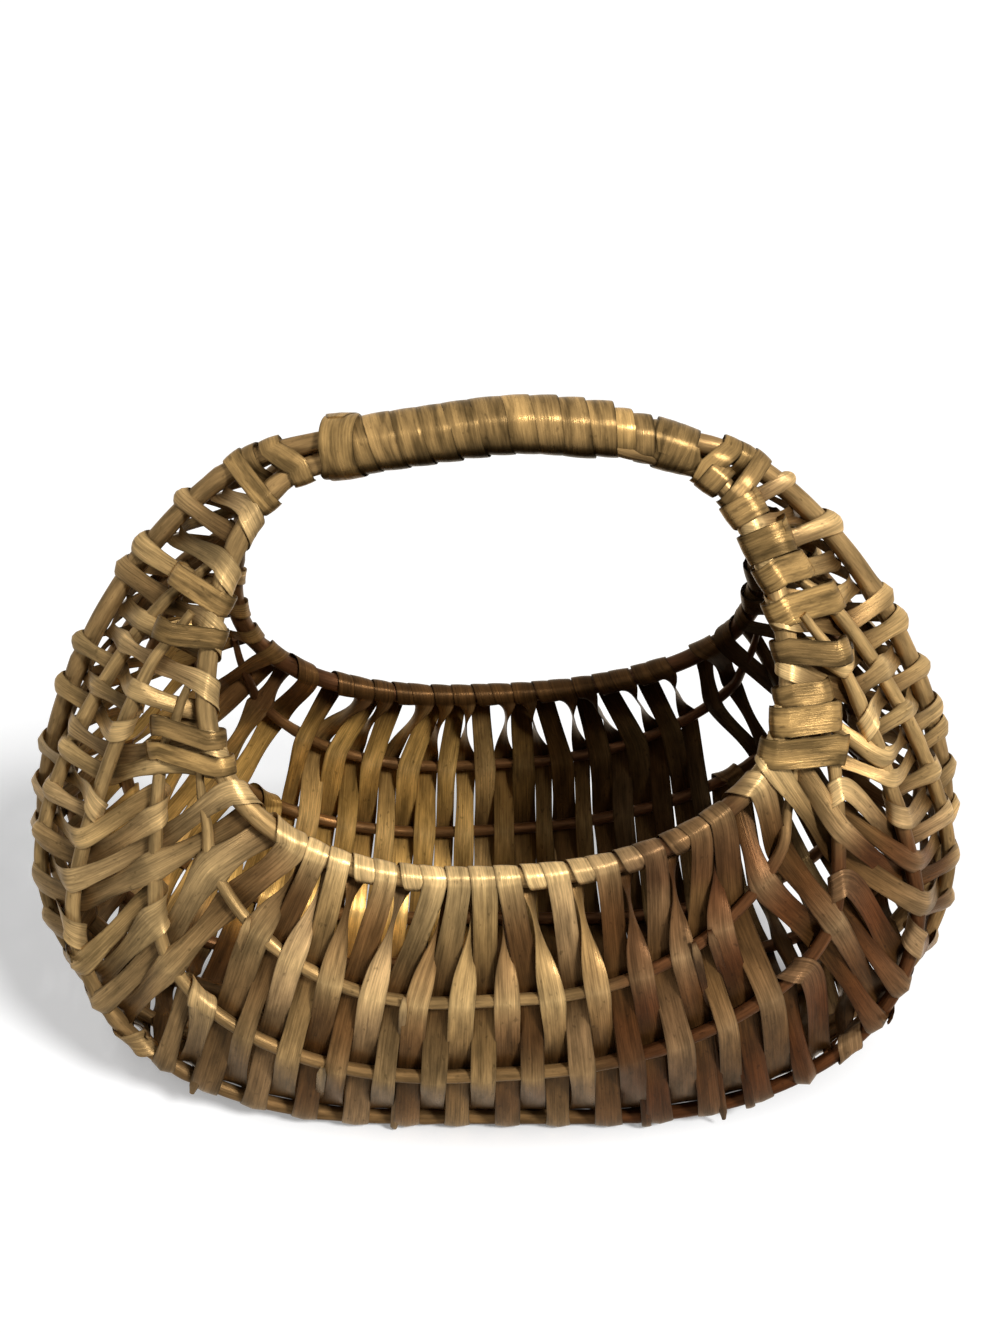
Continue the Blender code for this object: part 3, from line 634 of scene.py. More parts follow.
def span_sections(start, finish, twist, peak, pinch, cup):
    """Sections strictly between two spots, twisted, pinched and curled most at a peak share of the way."""
    reach = (finish.point - start.point).length
    slope_a = start.ahead * reach * SLOPE_SHARE
    slope_b = finish.ahead * reach * SLOPE_SHARE
    count = max(2, round(reach / SPAN_STEP))
    bend = math.log(0.5) / math.log(peak)
    sections = []
    for order in range(1, count):
        t = order / count
        bump = math.sin(math.pi * t ** bend) ** 2
        center = hermite(start.point, finish.point, slope_a, slope_b, t)
        beyond = hermite(start.point, finish.point, slope_a, slope_b, t + LOOK_AHEAD_SHARE)
        ahead = (beyond - center).normalized()
        across = start.across.lerp(finish.across, t)
        across = (across - ahead * across.dot(ahead)).normalized()
        across = Matrix.Rotation(twist * bump, 3, ahead) @ across
        half = (start.half + (finish.half - start.half) * t) * (1 - pinch * bump)
        curl = start.cup + (finish.cup - start.cup) * t + cup * bump
        # A twisted strip gets a painted highlight where it is turned most
        wear = start.wear + (finish.wear - start.wear) * t + TWIST_HIGHLIGHT * bump * abs(math.sin(twist))
        sections.append((center, across, half, curl, wear))
    return sections


def row_members(skeleton, row, side):
    """Members that a row crosses, front to back, with the signed length on each."""
    crossed = []
    for index in range(LAST + 1):
        length = skeleton.place(row, side, index)
        if length is not None:
            crossed.append((index, length))
    return crossed


def blend_colours(a, b, share):
    """Two colours mixed value by value, as far as the shorter one goes."""
    return tuple(x + (y - x) * share for x, y in zip(a, b))


# Per kind of span: least and most twist in degrees, share of the way to the most twisted place, least and
# most pinch as a share of the width, most curl of the edges
SPAN_KINDS = {
    "from_inside": (68, 88, 0.38, 0.30, 0.50, 0.15),
    "to_inside": (68, 88, 0.62, 0.30, 0.50, 0.15),
    "rim": (-4, 6, 0.5, 0.0, 0.05, 0.08),
    "side": (4, 22, 0.5, 0.10, 0.35, 0.15),
    "wall": (4, 18, 0.5, 0.0, 0.1, 0.12),
}

# Widths along a row: shares of the usual width and of the room to the next strip, and how far they vary
STRIP_VARIETY = (0.9, 1.12)
WRAP_VARIETY = (0.96, 1.06)
ROW_VARIETY = 0.4
ROW_NOISE = (1.37, 5.1)
BROAD_ROWS = 9
CORNER_FADE_ROWS = (MIDDLE_ROWS - 3, MIDDLE_ROWS + 1)
SIDE_FADE_ROWS = (MIDDLE_ROWS + BROAD_ROWS, MIDDLE_ROWS + BROAD_ROWS + 4)
RIGHT_NARROWING = (0.22, 0.50)
BASE_CROWDING = 0.515
BASE_NEIGHBOURS = 2
DIVE_SHARE = 0.8
MIDDLE_CURL = (0.05, 0.15)
SIDE_CURL = (0.2, 0.6)

# Rows' own tones: past each mark of a draw from 0 to 1, the colour and its share
ROW_TONES = ((0.86, "grey", 0.8), (0.58, "russet", 0.75), (0.34, "pale", 0.75))
ROW_LIGHT = (0.62, 1.5)
ROW_AGE = (0.25, 1.0)
TURN_TONE_SHARE = 0.85

# Where the basket's colours, painted light and painted shadow included, fade in, from the first place to the
# second along an axis
FRONT_Y = (-0.02, -0.05)
RUSSET_X = (0.018, 0.062)
RUSSET_Z = (0.170, 0.125)
SIDE_X = (0.09, 0.13)
SIDE_Z = (0.13, 0.17)
GREY_X = (-0.07, -0.12)
GREY_Y = (0.05, -0.03)
BACK_Y = (0.02, 0.07)
BACK_RIM_X = (-0.16, -0.12)
BACK_RIM_Z = (0.105, 0.13)
# The yellow back left: part the willow's colour, part painted light where the light falls in
LIT_HONEY_X = (0.07, -0.05)
# The painted shadow inside the back right, where the right wall shades the basket
SHADOW_X = (-0.03, 0.07)
SHADOW_RIGHT_X = (0.175, 0.14)
SHADOW_Y = (-0.03, 0.04)
SHADOW_Z = (0.25, 0.2)
# Darker and browner towards the bottom: part the willow's colour, part painted shade
LOW_Z = (0.11, 0.02)
RED_WRAPS_X = (0.040, 0.058)
RED_WRAPS_RIGHT_X = (0.105, 0.088)
RED_WRAPS_Z = (0.120, 0.132)
# Where the painted highlight and the painted shade grow weaker to the left
HIGHLIGHT_FADE_LEFT_X = (-0.06, -0.11)
SHADE_FADE_LEFT_X = (-0.06, -0.12)

# How much of each colour, painted light and shadow included, is taken there; an aged strip takes more
RUSSET_SHARES = (0.02, 1.4)
LIT_HONEY_SHARES = (0.5, 0.4)
SIDE_GOLD_SHARE = 0.6
SIDE_HIGHLIGHT_SHARE = 0.4
GREY_SHARE = 0.6
BACK_RIM_SHARE = 0.92
# How much of the painted shadow's colour is taken at the back right
SHADOW_SHARE = 0.8
LOW_SHARE = 0.62
LOW_DARKENING = 0.62
RED_WRAPS_SHARE = 0.8

# Painted light: the painted highlight where a strip bends out over a rod, the painted shade behind a rod, and
# where each is weaker
BACK_TURN_SHARE = 1.6
WRAP_PAINTED_LIGHT = 1.3
TWIST_HIGHLIGHT = 0.5
PAINTED_HIGHLIGHT_SHARE = 0.74
HIGHLIGHT_RIGHT_SHARES = (-0.1, 0.9)
HIGHLIGHT_LOW_LOSS = 0.7
HIGHLIGHT_BACK_RIM_LOSS = 0.9
HIGHLIGHT_SHADOW_LOSS = 0.9
HIGHLIGHT_WRAPS_LOSS = 0.85
HIGHLIGHT_LEFT_LOSS = 0.45
SHADE_SHARE = 0.92
SHADE_LIGHT_RANGE = (-0.8, 0.5)
SHADE_LEFT_LOSS = 0.4


def spot_section(spot):
    """A spot's middle, direction across, half width, curl and share of painted light, as a section has them.
    """
    return spot.point, spot.across, spot.half, spot.cup, spot.wear


class Weaver:
    """Walks the whole weave once, from the left end to the right, and cuts it into strips inside the keel."""

    def __init__(self, skeleton, sizes, colours):
        self.skeleton = skeleton
        self.sizes = sizes
        self.colours = colours
        self.dice = random.Random(SEED)

    def row_tone(self):
        """A strip's own colour and its age: most are olive gold, some are pale, greyer or red-brown."""
        colours = self.colours
        pick = self.dice.random()
        tone = blend_colours(colours.olive, colours.gold, self.dice.random())
        for mark, name, share in ROW_TONES:
            if pick > mark:
                tone = blend_colours(tone, getattr(colours, name), share)
                break
        light = self.dice.uniform(*ROW_LIGHT)
        return (*(value * light for value in tone), self.dice.uniform(*ROW_AGE))

    def new_strip(self):
        """A fresh strip's tone and width."""
        return self.row_tone(), self.dice.uniform(*STRIP_VARIETY) * self.sizes.strip_width

    def tone_at(self, tone, center, wear=0.5):
        """The strip's colour as age changes it, dark at the back, right and low, with painted highlights,
        painted shade and a painted shadow.
        """
        colours = self.colours
        x, y, z = center
        age = tone[3]
        front = smoothstep(*FRONT_Y, y)
        back = smoothstep(*BACK_Y, y)
        right = smoothstep(*RUSSET_X, x) * front * smoothstep(*RUSSET_Z, z)
        side = smoothstep(*SIDE_X, x) * smoothstep(*SIDE_Z, z)
        left = smoothstep(*GREY_X, x) * smoothstep(*GREY_Y, y)
        rim = back * smoothstep(*BACK_RIM_Z, z) * smoothstep(*BACK_RIM_X, x)
        # The painted shadow at the back right
        shadowed = smoothstep(*SHADOW_X, x) * smoothstep(*SHADOW_Y, y) * smoothstep(*SHADOW_RIGHT_X, x)
        shadowed *= smoothstep(*SHADOW_Z, z)
        low = smoothstep(*LOW_Z, z) * (1 - back)
        wraps = smoothstep(*RED_WRAPS_X, x) * smoothstep(*RED_WRAPS_RIGHT_X, x)
        wraps *= front * smoothstep(*RED_WRAPS_Z, z)
        # Up the right side the willow is golden, with some of the painted highlight's colour mixed in
        golden = blend_colours(colours.gold, colours.bright, SIDE_HIGHLIGHT_SHARE)
        # The darker brown low down is part colour and part painted shade
        low_brown_and_shade = tuple(value * LOW_DARKENING for value in colours.russet)
        lit_honey = LIT_HONEY_SHARES[0] + LIT_HONEY_SHARES[1] * age
        layers = (
            (colours.russet, right * min(1.0, RUSSET_SHARES[0] + RUSSET_SHARES[1] * age)),
            (golden, side * SIDE_GOLD_SHARE),
            (colours.grey, left * GREY_SHARE),
            (colours.lit_honey, back * smoothstep(*LIT_HONEY_X, x) * lit_honey),
            (colours.mahogany, rim * BACK_RIM_SHARE),
            (colours.painted_shadow, shadowed * SHADOW_SHARE),
            (low_brown_and_shade, LOW_SHARE * low),
            (colours.mahogany, RED_WRAPS_SHARE * wraps),
        )
        tone = tone[:3]
        for colour, share in layers:
            tone = blend_colours(tone, colour, share)
        # At the back the inner faces are the ones seen, so the painted light turns over there: highlight
        # inside the rods, painted shade outside
        wear *= 1 - BACK_TURN_SHARE * back
        # Painted highlight: the willow is blended towards the bright colour where the share of painted light
        # is above 0
        lit = min(1.0, PAINTED_HIGHLIGHT_SHARE * max(0.0, wear) ** 2)
        lit *= 1 - right * (HIGHLIGHT_RIGHT_SHARES[1] * age + HIGHLIGHT_RIGHT_SHARES[0])
        for place, loss in ((low, HIGHLIGHT_LOW_LOSS), (rim, HIGHLIGHT_BACK_RIM_LOSS), (shadowed, HIGHLIGHT_SHADOW_LOSS),
                            (wraps, HIGHLIGHT_WRAPS_LOSS), (smoothstep(*HIGHLIGHT_FADE_LEFT_X, x), HIGHLIGHT_LEFT_LOSS)):
            lit *= 1 - loss * place
        # Towards the front right the painted highlight turns pale
        tone = blend_colours(tone, blend_colours(colours.bright, colours.pale, right), lit)
        # Painted shade: the shade colour darkens a strip behind a rod, less on the left
        shade = SHADE_SHARE * (1 - smoothstep(*SHADE_LIGHT_RANGE, wear))
        shade *= 1 - SHADE_LEFT_LOSS * smoothstep(*SHADE_FADE_LEFT_X, x)
        return blend_colours(tone, colours.shade, shade)

    def half_at(self, index, length, row, width, passing=1):
        """Half a strip's width on a member: broad in the corners, narrow up the sides, within its room."""
        sizes = self.sizes
        if index in (0, LAST) and row < MIDDLE_ROWS:
            return WRAP_BAND / 2 * self.dice.uniform(*WRAP_VARIETY)
        side = smoothstep(*SIDE_FADE_ROWS, row)
        corner = sizes.corner_share - (RIGHT_NARROWING[index > LAST // 2] if length > 0 else 0.0)
        share = 1.0 + (corner - 1.0) * smoothstep(*CORNER_FADE_ROWS, row)
        share += (sizes.side_share - share) * side
        crowding = sizes.crowding + (sizes.side_crowding - sizes.crowding) * side
        spot = Vector((row * ROW_NOISE[0], math.copysign(ROW_NOISE[1], length), index // (LAST // 2)))
        share *= 1 + ROW_VARIETY * noise.noise(spot)
        room = self.skeleton.room(index, length)
        half = min(width / 2 * share, room * crowding)
        low = row < MIDDLE_ROWS and abs(index - LAST // 2) <= BASE_NEIGHBOURS
        half = max(half, room * BASE_CROWDING) if low else half
        return half * (DIVE_SHARE if row < MIDDLE_ROWS and index == LAST // 2 and passing < 0 else 1.0)

    def curl_at(self, index, row, side, forward):
        """How far a strip's edges stand off a rod, more on the sides, where strips are bent hard."""
        if index in (0, LAST):
            return 0.0
        amount = self.dice.uniform(*(MIDDLE_CURL if row < MIDDLE_ROWS else SIDE_CURL))
        return amount * side * (1 if forward else -1)

    def spots_of(self, walk, row, side, width):
        """Spots where a row crosses its members between its two turns, in walking order."""
        points = [self.skeleton.point(index, length) for index, length in walk]
        forward = walk[-1][0] > walk[0][0]
        spots = []
        for step in range(1, len(walk) - 1):
            index, length = walk[step]
            half = self.half_at(index, length, row, width, side)
            spots.append((index, side, crossing(
                self.skeleton, index, length, side, points[step - 1], points[step + 1], forward, half,
                self.curl_at(index, row, side, forward), self.sizes)))
            side = -side
        return spots, side

    def span(self, start, finish, kind):
        """Sections of one span, with the twist that a strip takes there."""
        least_twist, most_twist, peak, least_pinch, most_pinch, most_cup = SPAN_KINDS[kind]
        dice = self.dice
        twist = dice.uniform(least_twist, most_twist)
        return span_sections(start, finish, math.radians(twist), peak, dice.uniform(least_pinch, most_pinch),
                             dice.uniform(-most_cup, most_cup))

    def kind_of(self, index, row, side, leaving):
        """What a span next to a member is like: side is the side on which the strip passes that member."""
        if row >= MIDDLE_ROWS:
            return "side"
        if index not in (0, LAST):
            return "wall"
        if side < 0:
            return "from_inside" if leaving else "to_inside"
        return "rim"

    def walks(self):
        """Every row with its half of the basket and the members that it crosses, in walking order."""
        rows = self.skeleton.rows
        order = [(row, -1) for row in reversed(range(rows))] + [(row, 1) for row in range(rows)]
        walks = []
        for number, (row, half) in enumerate(order):
            crossed = row_members(self.skeleton, row, half)
            walks.append((row, half, crossed if number % 2 else crossed[::-1]))
        return walks

    def turn(self, row, half_side, walk, following, side, width):
        """A strip's way round the member between a row's walk and the one that follows."""
        skeleton = self.skeleton
        index, length = walk[-1]
        ends = (length, following[0][1])
        neighbours = (skeleton.point(*walk[-2]), skeleton.point(*following[1]))
        laps = skeleton.laps[index].get((row, half_side), 1) if index in (0, LAST) else 1
        half = self.half_at(index, length, row, width)
        front_next = walk[0][0] > index
        return turn_spots(skeleton, index, ends, neighbours, side, front_next, laps, half, self.sizes)

    def strips(self):
        """Every strip as its list of sections."""
        skeleton = self.skeleton
        walks = self.walks()
        strips = []
        current = []
        passes = 0
        side = 1
        tone, width = self.new_strip()
        (index, length), following = walks[0][2][:2]
        previous = crossing(skeleton, index, length, side, None, skeleton.point(*following),
                            following[0] > index, width / 2, 0.0, self.sizes)
        current.append((previous.point, previous.across, previous.half, 0.0, side, tone))
        side = -side
        for number, (row, half_side, walk) in enumerate(walks):
            spots, side = self.spots_of(walk, row, side, width)
            for step, (index, passing, spot) in enumerate(spots):
                before = walk[0][0] if step == 0 else LAST // 2
                kind = self.kind_of(before, row, -passing, True)
                current += [(*section, tone) for section in self.span(previous, spot, kind)]
                passes += index == LAST // 2
                if index == LAST // 2 and passing < 0 and passes > PASSES_PER_STRIP:
                    current.append((*spot_section(spot), tone))
                    strips.append(current)
                    tone, width = self.new_strip()
                    current = []
                    passes = 1
                current.append((*spot_section(spot), tone))
                previous = spot
            if number == len(walks) - 1:
                break
            arc = self.turn(row, half_side, walk, walks[number + 1][2], side, width)
            start, across, half = arc[0]
            first = Spot(start, (arc[1][0] - start).normalized(), across, half, 0.0, side)
            kind = self.kind_of(walk[-1][0], row, side, False)
            current += [(*section, tone) for section in self.span(previous, first, kind)]
            tone = blend_colours(tone, self.row_tone(), TURN_TONE_SHARE)
            # The laps round a rim take a painted highlight on the front rim and painted shade on the back rim
            current += [(center, across, wide, 0.0, WRAP_PAINTED_LIGHT, tone) for center, across, wide in arc]
            finish, across, half = arc[-1]
            previous = Spot(finish, (finish - arc[-2][0]).normalized(), across, half, 0.0, -side)
        strips.append(current)
        return [[Section(*section) for section in strip] for strip in strips]


# A strip's outline as shares of half its width and half its thickness, and how its edges and ends thin out
PROFILE = ((-1.0, 0.5), (-0.86, 1.0), (-0.45, 1.0), (0.0, 1.0), (0.45, 1.0), (0.86, 1.0), (1.0, 0.5),
           (1.0, -0.5), (0.86, -1.0), (0.0, -1.0), (-0.86, -1.0), (-1.0, -0.5))
EDGE_THIN_SHARE = 0.3
CURL_BALANCE_SHARE = 0.35
TAPER_LENGTH = 0.006
TAPER_SHARE = 0.5
WIDTH_WANDER = 0.09
WIDTH_NOISE = (45, 7.3, 0.5)
FLOOR_GAP = 0.0004
GRAIN_SHIFT = 0.37
SMOOTH_ANGLE = math.radians(48)


def strip_mesh(name, sections, thickness, tone_at, number):
    """A strip's closed mesh through its sections, with its grain along V and its colour, painted light and
    shade included, on the points.
    """
    rings = []
    tones = []
    centers = [section.center for section in sections]
    marks = running_lengths(centers)
    for order, section in enumerate(sections):
        ahead = (centers[min(len(centers) - 1, order + 1)] - centers[max(0, order - 1)]).normalized()
        across = (section.across - ahead * section.across.dot(ahead)).normalized()
        normal = ahead.cross(across)
        spot = Vector((marks[order] * WIDTH_NOISE[0], number * WIDTH_NOISE[1], WIDTH_NOISE[2]))
        to_end = min(marks[order], marks[-1] - marks[order]) / TAPER_LENGTH
        taper = min(1.0, TAPER_SHARE + to_end * (1 - TAPER_SHARE))
        half = section.half * (1 + noise.noise(spot) * WIDTH_WANDER) * taper
        center = section.center.copy()
        center.z = max(center.z, FLOOR_GAP + thickness + abs(across.z) * half)
        ring = []
        for u, h in PROFILE:
            curl = (u * u - CURL_BALANCE_SHARE) * section.cup * half
            skin = thickness / 2 * h * (1 - (1 - EDGE_THIN_SHARE) * u * u)
            ring.append(center + across * half * u + normal * (skin - curl))
        rings.append(ring)
        tones.append(tone_at(section.tone, section.center, section.wear))
    return loft(name, rings, tones, [u for u, h in PROFILE], [s.half for s in sections], marks, number)


def loft(name, rings, tones, sides, halves, marks, number, closed=False):
    """Joins rings of points into a tube with end caps, a UV map in metres and a colour attribute."""
    size = len(rings[0])
    points = [point for ring in rings for point in ring]
    faces = []
    pairs = list(zip(range(len(rings)), range(1, len(rings))))
    if closed:
        pairs.append((len(rings) - 1, 0))
    for low, high in pairs:
        for corner in range(size):
            beside = (corner + 1) % size
            near, far = low * size, high * size
            faces.append((near + corner, far + corner, far + beside, near + beside))
    if not closed:
        faces.append(tuple(range(size)))
        faces.append(tuple((len(rings) - 1) * size + corner for corner in reversed(range(size))))
    mesh = bpy.data.meshes.new(name)
    mesh.from_pydata(points, [], faces)
    layer = mesh.uv_layers.new(name="grain")
    for polygon in mesh.polygons:
        for loop in polygon.loop_indices:
            vertex = mesh.loops[loop].vertex_index
            ring = vertex // size
            layer.data[loop].uv = (sides[vertex % size] * halves[ring], marks[ring] + number * GRAIN_SHIFT)
    # The colour on the points, painted highlights and shade included
    colour = mesh.color_attributes.new(name="tone", type="FLOAT_COLOR", domain="POINT")
    for vertex in range(len(points)):
        colour.data[vertex].color = (*tones[vertex // size], 1.0)
    edge = mesh.attributes.new(name="edge", type="FLOAT", domain="POINT")
    for vertex in range(len(points)):
        edge.data[vertex].value = sides[vertex % size]
    mesh.validate()
    mesh.update()
    return mesh


def add_piece(name, mesh, material, nodes=()):
    """Puts a finished mesh in the scene as a piece that rides on the root body."""
    piece = bpy.data.objects.new(name, mesh)
    bpy.context.scene.collection.objects.link(piece)
    mesh.materials.append(material)
    bpy.ops.object.select_all(action="DESELECT")
    bpy.context.view_layer.objects.active = piece
    piece.select_set(True)
    bpy.ops.object.mode_set(mode="EDIT")
    bpy.ops.mesh.select_all(action="SELECT")
    bpy.ops.mesh.normals_make_consistent(inside=False)
    bpy.ops.object.mode_set(mode="OBJECT")
    bpy.ops.object.shade_smooth_by_angle(angle=SMOOTH_ANGLE)
    piece.select_set(False)
    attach(piece, "root")
    if nodes:
        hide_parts(*nodes)


# Rods: their sides, and how knots, swellings and dents change their radius
ROD_SIDES = 14
KNOT_SPACING = 0.055
KNOT_SWELL = 0.12
KNOT_REACH = 0.0032
SWELL_SHARE = 0.05
SWELL_NOISE = (30, 3.1, 2.2)
DENT_SHARE = 0.04
DENT_NOISE = (1.5, 60)


def rod_mesh(name, points, radii, tone, number, closed, dice):
    """A round rod with the small swellings, knots and dents of real willow."""
    rings = []
    marks = running_lengths(points)
    count = len(points)
    upright = Vector((0.0, 1.0, 0.0))
    knots = [dice.uniform(0, marks[-1]) for step in range(int(marks[-1] / KNOT_SPACING))]
    for order, point in enumerate(points):
        before = points[order - 1] if order or closed else point
        after = points[(order + 1) % count] if order < count - 1 or closed else point
        ahead = (after - before).normalized()
        side = (upright - ahead * upright.dot(ahead)).normalized()
        third = ahead.cross(side)
        spot = Vector((marks[order] * SWELL_NOISE[0], number * SWELL_NOISE[1], SWELL_NOISE[2]))
        swell = 1 + SWELL_SHARE * noise.noise(spot)
        for knot in knots:
            swell += KNOT_SWELL * math.exp(-((marks[order] - knot) / KNOT_REACH) ** 2)
        ring = []
        for corner in range(ROD_SIDES):
            angle = 2 * math.pi * corner / ROD_SIDES
            spot = Vector((math.cos(angle), math.sin(angle), 0.0)) * DENT_NOISE[0]
            spot.z = marks[order] * DENT_NOISE[1]
            reach = radii[order] * swell * (1 + DENT_SHARE * noise.noise(spot))
            ring.append(point + (side * math.cos(angle) + third * math.sin(angle)) * reach)
        rings.append(ring)
    tones = [tone(point) for point in points]
    sides = [corner / ROD_SIDES * 2 - 1 for corner in range(ROD_SIDES)]
    return loft(name, rings, tones, sides, [radius * math.pi for radius in radii], marks, number, closed)


def node_of(owner, kind, place, **inputs):
    """Adds a shader node to a material or world at a place of the editor, with values for its inputs."""
    node = owner.node_tree.nodes.new(kind)
    node.location = place
    for name, value in inputs.items():
        node.inputs[name].default_value = value
    return node


def ramp(owner, place, value, source, result):
    """A value mapped from one range, as its two ends, onto another."""
    node = node_of(owner, "ShaderNodeMapRange", place)
    for name, end in zip(("From Min", "From Max", "To Min", "To Max"), (*source, *result)):
        node.inputs[name].default_value = end
    owner.node_tree.links.new(value, node.inputs["Value"])
    return node.outputs[0]


def maths(owner, operation, place, *values):
    """One sum of one or two values, each an output or a number."""
    node = node_of(owner, "ShaderNodeMath", place)
    node.operation = operation
    for socket, value in zip(node.inputs, values):
        if isinstance(value, float):
            socket.default_value = value
        else:
            owner.node_tree.links.new(value, socket)
    return node.outputs[0]


def grain_noise(material, uv, place, scale, detail, roughness):
    """Noise drawn out over a strip, with its scale across and along the strip."""
    link = material.node_tree.links.new
    spread = node_of(material, "ShaderNodeMapping", (place[0] - 200, place[1]), Scale=(*scale, 1.0))
    link(uv.outputs["UV"], spread.inputs["Vector"])
    grain = node_of(material, "ShaderNodeTexNoise", place, Scale=1.0, Detail=detail, Roughness=roughness)
    link(spread.outputs["Vector"], grain.inputs["Vector"])
    return grain.outputs["Fac"]


# Varnished willow's shine
WILLOW_SHINE = {"Specular IOR Level": 0.12, "Metallic": 0.34, "Specular Tint": (1.0, 0.80, 0.52, 1.0),
                "Anisotropic": 0.5}

# Fibres, stains and specks: their scales across and along a strip in waves a metre, the detail and roughness
# of their noise, the part of the noise that counts, and how light or dark they make the willow
FIBRE_LENGTH_SCALE = 38.0
FIBRE_NOISE = (5.0, 0.62)
FIBRE_RANGE = (0.32, 0.68)
FIBRE_RELIEF = 0.35
FIBRE_DEPTH = 0.0006
STAIN_SCALE = (190.0, 34.0)
STAIN_NOISE = (4.0, 0.6)
STAIN_RANGE = (0.38, 0.64)
STAIN_LIGHT = 1.3
SPECK_SCALE = (420.0, 210.0)
SPECK_NOISE = (2.0, 0.5)
SPECK_RANGE = (0.27, 0.36)
SPECK_SHADE = 0.6
# How tightly the painted shade hugs a strip's edges
EDGE_POWER = 12.0
DULL_RANGE = (0.3, 0.7)
DULL_SPREAD = (0.12, -0.06)


def willow_material(name, roughness, edge_shade, fibre_scale, contrast, stain=0.6):
    """Split, peeled and varnished willow: long fibres, stains and specks over each strip's own colour, and as
    much painted shade along its edges as edge_shade asks.
    """
    material = bpy.data.materials.new(name)
    material.use_nodes = True
    tree = material.node_tree
    link = tree.links.new
    shader = tree.nodes["Principled BSDF"]
    for socket, value in WILLOW_SHINE.items():
        shader.inputs[socket].default_value = value
    weft = node_of(material, "ShaderNodeTangent", (-300, -650))
    weft.direction_type = "UV_MAP"
    weft.uv_map = "grain"
    link(weft.outputs["Tangent"], shader.inputs["Tangent"])
    uv = node_of(material, "ShaderNodeUVMap", (-1500, 0))
    uv.uv_map = "grain"
    tone = node_of(material, "ShaderNodeAttribute", (-900, 400))
    tone.attribute_name = "tone"
    edge = node_of(material, "ShaderNodeAttribute", (-1200, 620))
    edge.attribute_name = "edge"
    fibres = grain_noise(material, uv, (-1100, 0), (fibre_scale, FIBRE_LENGTH_SCALE), *FIBRE_NOISE)
    stains = grain_noise(material, uv, (-1100, -300), STAIN_SCALE, *STAIN_NOISE)
    specks = grain_noise(material, uv, (-1100, -600), SPECK_SCALE, *SPECK_NOISE)
    # Painted shade along a strip's edges, where it meets its neighbours
    to_edge = maths(material, "ABSOLUTE", (-1100, 720), edge.outputs["Fac"])
    to_edge = maths(material, "POWER", (-1000, 620), to_edge, EDGE_POWER)
    shades = (
        ramp(material, (-850, 100), fibres, FIBRE_RANGE, (1 - contrast, 1 + contrast)),
        ramp(material, (-850, -250), stains, STAIN_RANGE, (stain, STAIN_LIGHT)),
        ramp(material, (-850, -550), specks, SPECK_RANGE, (SPECK_SHADE, 1.0)),
        ramp(material, (-800, 620), to_edge, (0.0, 1.0), (1.0, edge_shade)),
    )
    product = shades[0]
    for order, shade in enumerate(shades[1:], 1):
        product = maths(material, "MULTIPLY", (-600 + order * 60, 200 - order * 120), product, shade)
    paint = node_of(material, "ShaderNodeVectorMath", (-300, 300))
    paint.operation = "SCALE"
    link(tone.outputs["Color"], paint.inputs[0])
    link(product, paint.inputs["Scale"])
    link(paint.outputs[0], shader.inputs["Base Color"])
    dull_to_glossy = [roughness + change for change in DULL_SPREAD]
    link(ramp(material, (-300, -100), stains, DULL_RANGE, dull_to_glossy), shader.inputs["Roughness"])
    bump = node_of(material, "ShaderNodeBump", (-300, -400), Strength=FIBRE_RELIEF, Distance=FIBRE_DEPTH)
    link(fibres, bump.inputs["Height"])
    link(bump.outputs["Normal"], shader.inputs["Normal"])
    return material


def background_rays(owner):
    """1 for a ray that shows the background: seen straight, in a reflection or through glass."""
    path = node_of(owner, "ShaderNodeLightPath", (-1200, 0))
    total = path.outputs["Is Camera Ray"]
    for order, name in enumerate(("Is Glossy Ray", "Is Transmission Ray")):
        total = maths(owner, "MAXIMUM", (-1000 + order * 180, 0), total, path.outputs[name])
    return total


# The floor's and the room's strengths: first for the light that they throw, then as a background
PAPER_SHADES = (0.09, 0.72)
PAPER_GLOW = 0.50
PAPER_ROUGHNESS = 0.9
ROOM_STRENGTHS = (0.05, 1.0)

# Half the length and width of the patch of floor under the basket, which stays dim as a painted shadow, and
# how its edge fades
FOOTPRINT = (0.125, 0.062)
FOOTPRINT_FADE = (1.0, 1.45)


def paper_material():
    """The floor's pale paper, a little brighter to the camera and darker where it only throws light back, and
    without its glow under the basket, as a painted shadow.
    """
    material = bpy.data.materials.new("pale_paper")
    material.use_nodes = True
    tree = material.node_tree
    link = tree.links.new
    shader = tree.nodes["Principled BSDF"]
    shader.inputs["Roughness"].default_value = PAPER_ROUGHNESS
    shader.inputs["Specular IOR Level"].default_value = 0.0
    shader.inputs["Emission Color"].default_value = (1.0, 1.0, 1.0, 1.0)
    seen = background_rays(material)
    link(ramp(material, (-500, 200), seen, (0.0, 1.0), PAPER_SHADES), shader.inputs["Base Color"])
    place = node_of(material, "ShaderNodeTexCoord", (-1200, -300))
    scale = (1 / FOOTPRINT[0], 1 / FOOTPRINT[1], 0.0)
    spread = node_of(material, "ShaderNodeMapping", (-1000, -300), Scale=scale)
    link(place.outputs["Object"], spread.inputs["Vector"])
    distance = node_of(material, "ShaderNodeVectorMath", (-800, -300))
    distance.operation = "LENGTH"
    link(spread.outputs["Vector"], distance.inputs[0])
    # No glow under the basket: a painted shadow there
    glow = ramp(material, (-500, -300), distance.outputs["Value"], FOOTPRINT_FADE, (0.0, PAPER_GLOW))
    link(maths(material, "MULTIPLY", (-300, -100), seen, glow), shader.inputs["Emission Strength"])
    return material


def studio_world():
    """A dim even room that looks white behind the basket."""
    world = bpy.data.worlds.new("studio")
    world.use_nodes = True
    room = world.node_tree.nodes["Background"]
    room.inputs["Color"].default_value = (1.0, 1.0, 1.0, 1.0)
    strength = ramp(world, (-300, 0), background_rays(world), (0.0, 1.0), ROOM_STRENGTHS)
    world.node_tree.links.new(strength, room.inputs["Strength"])
    return world


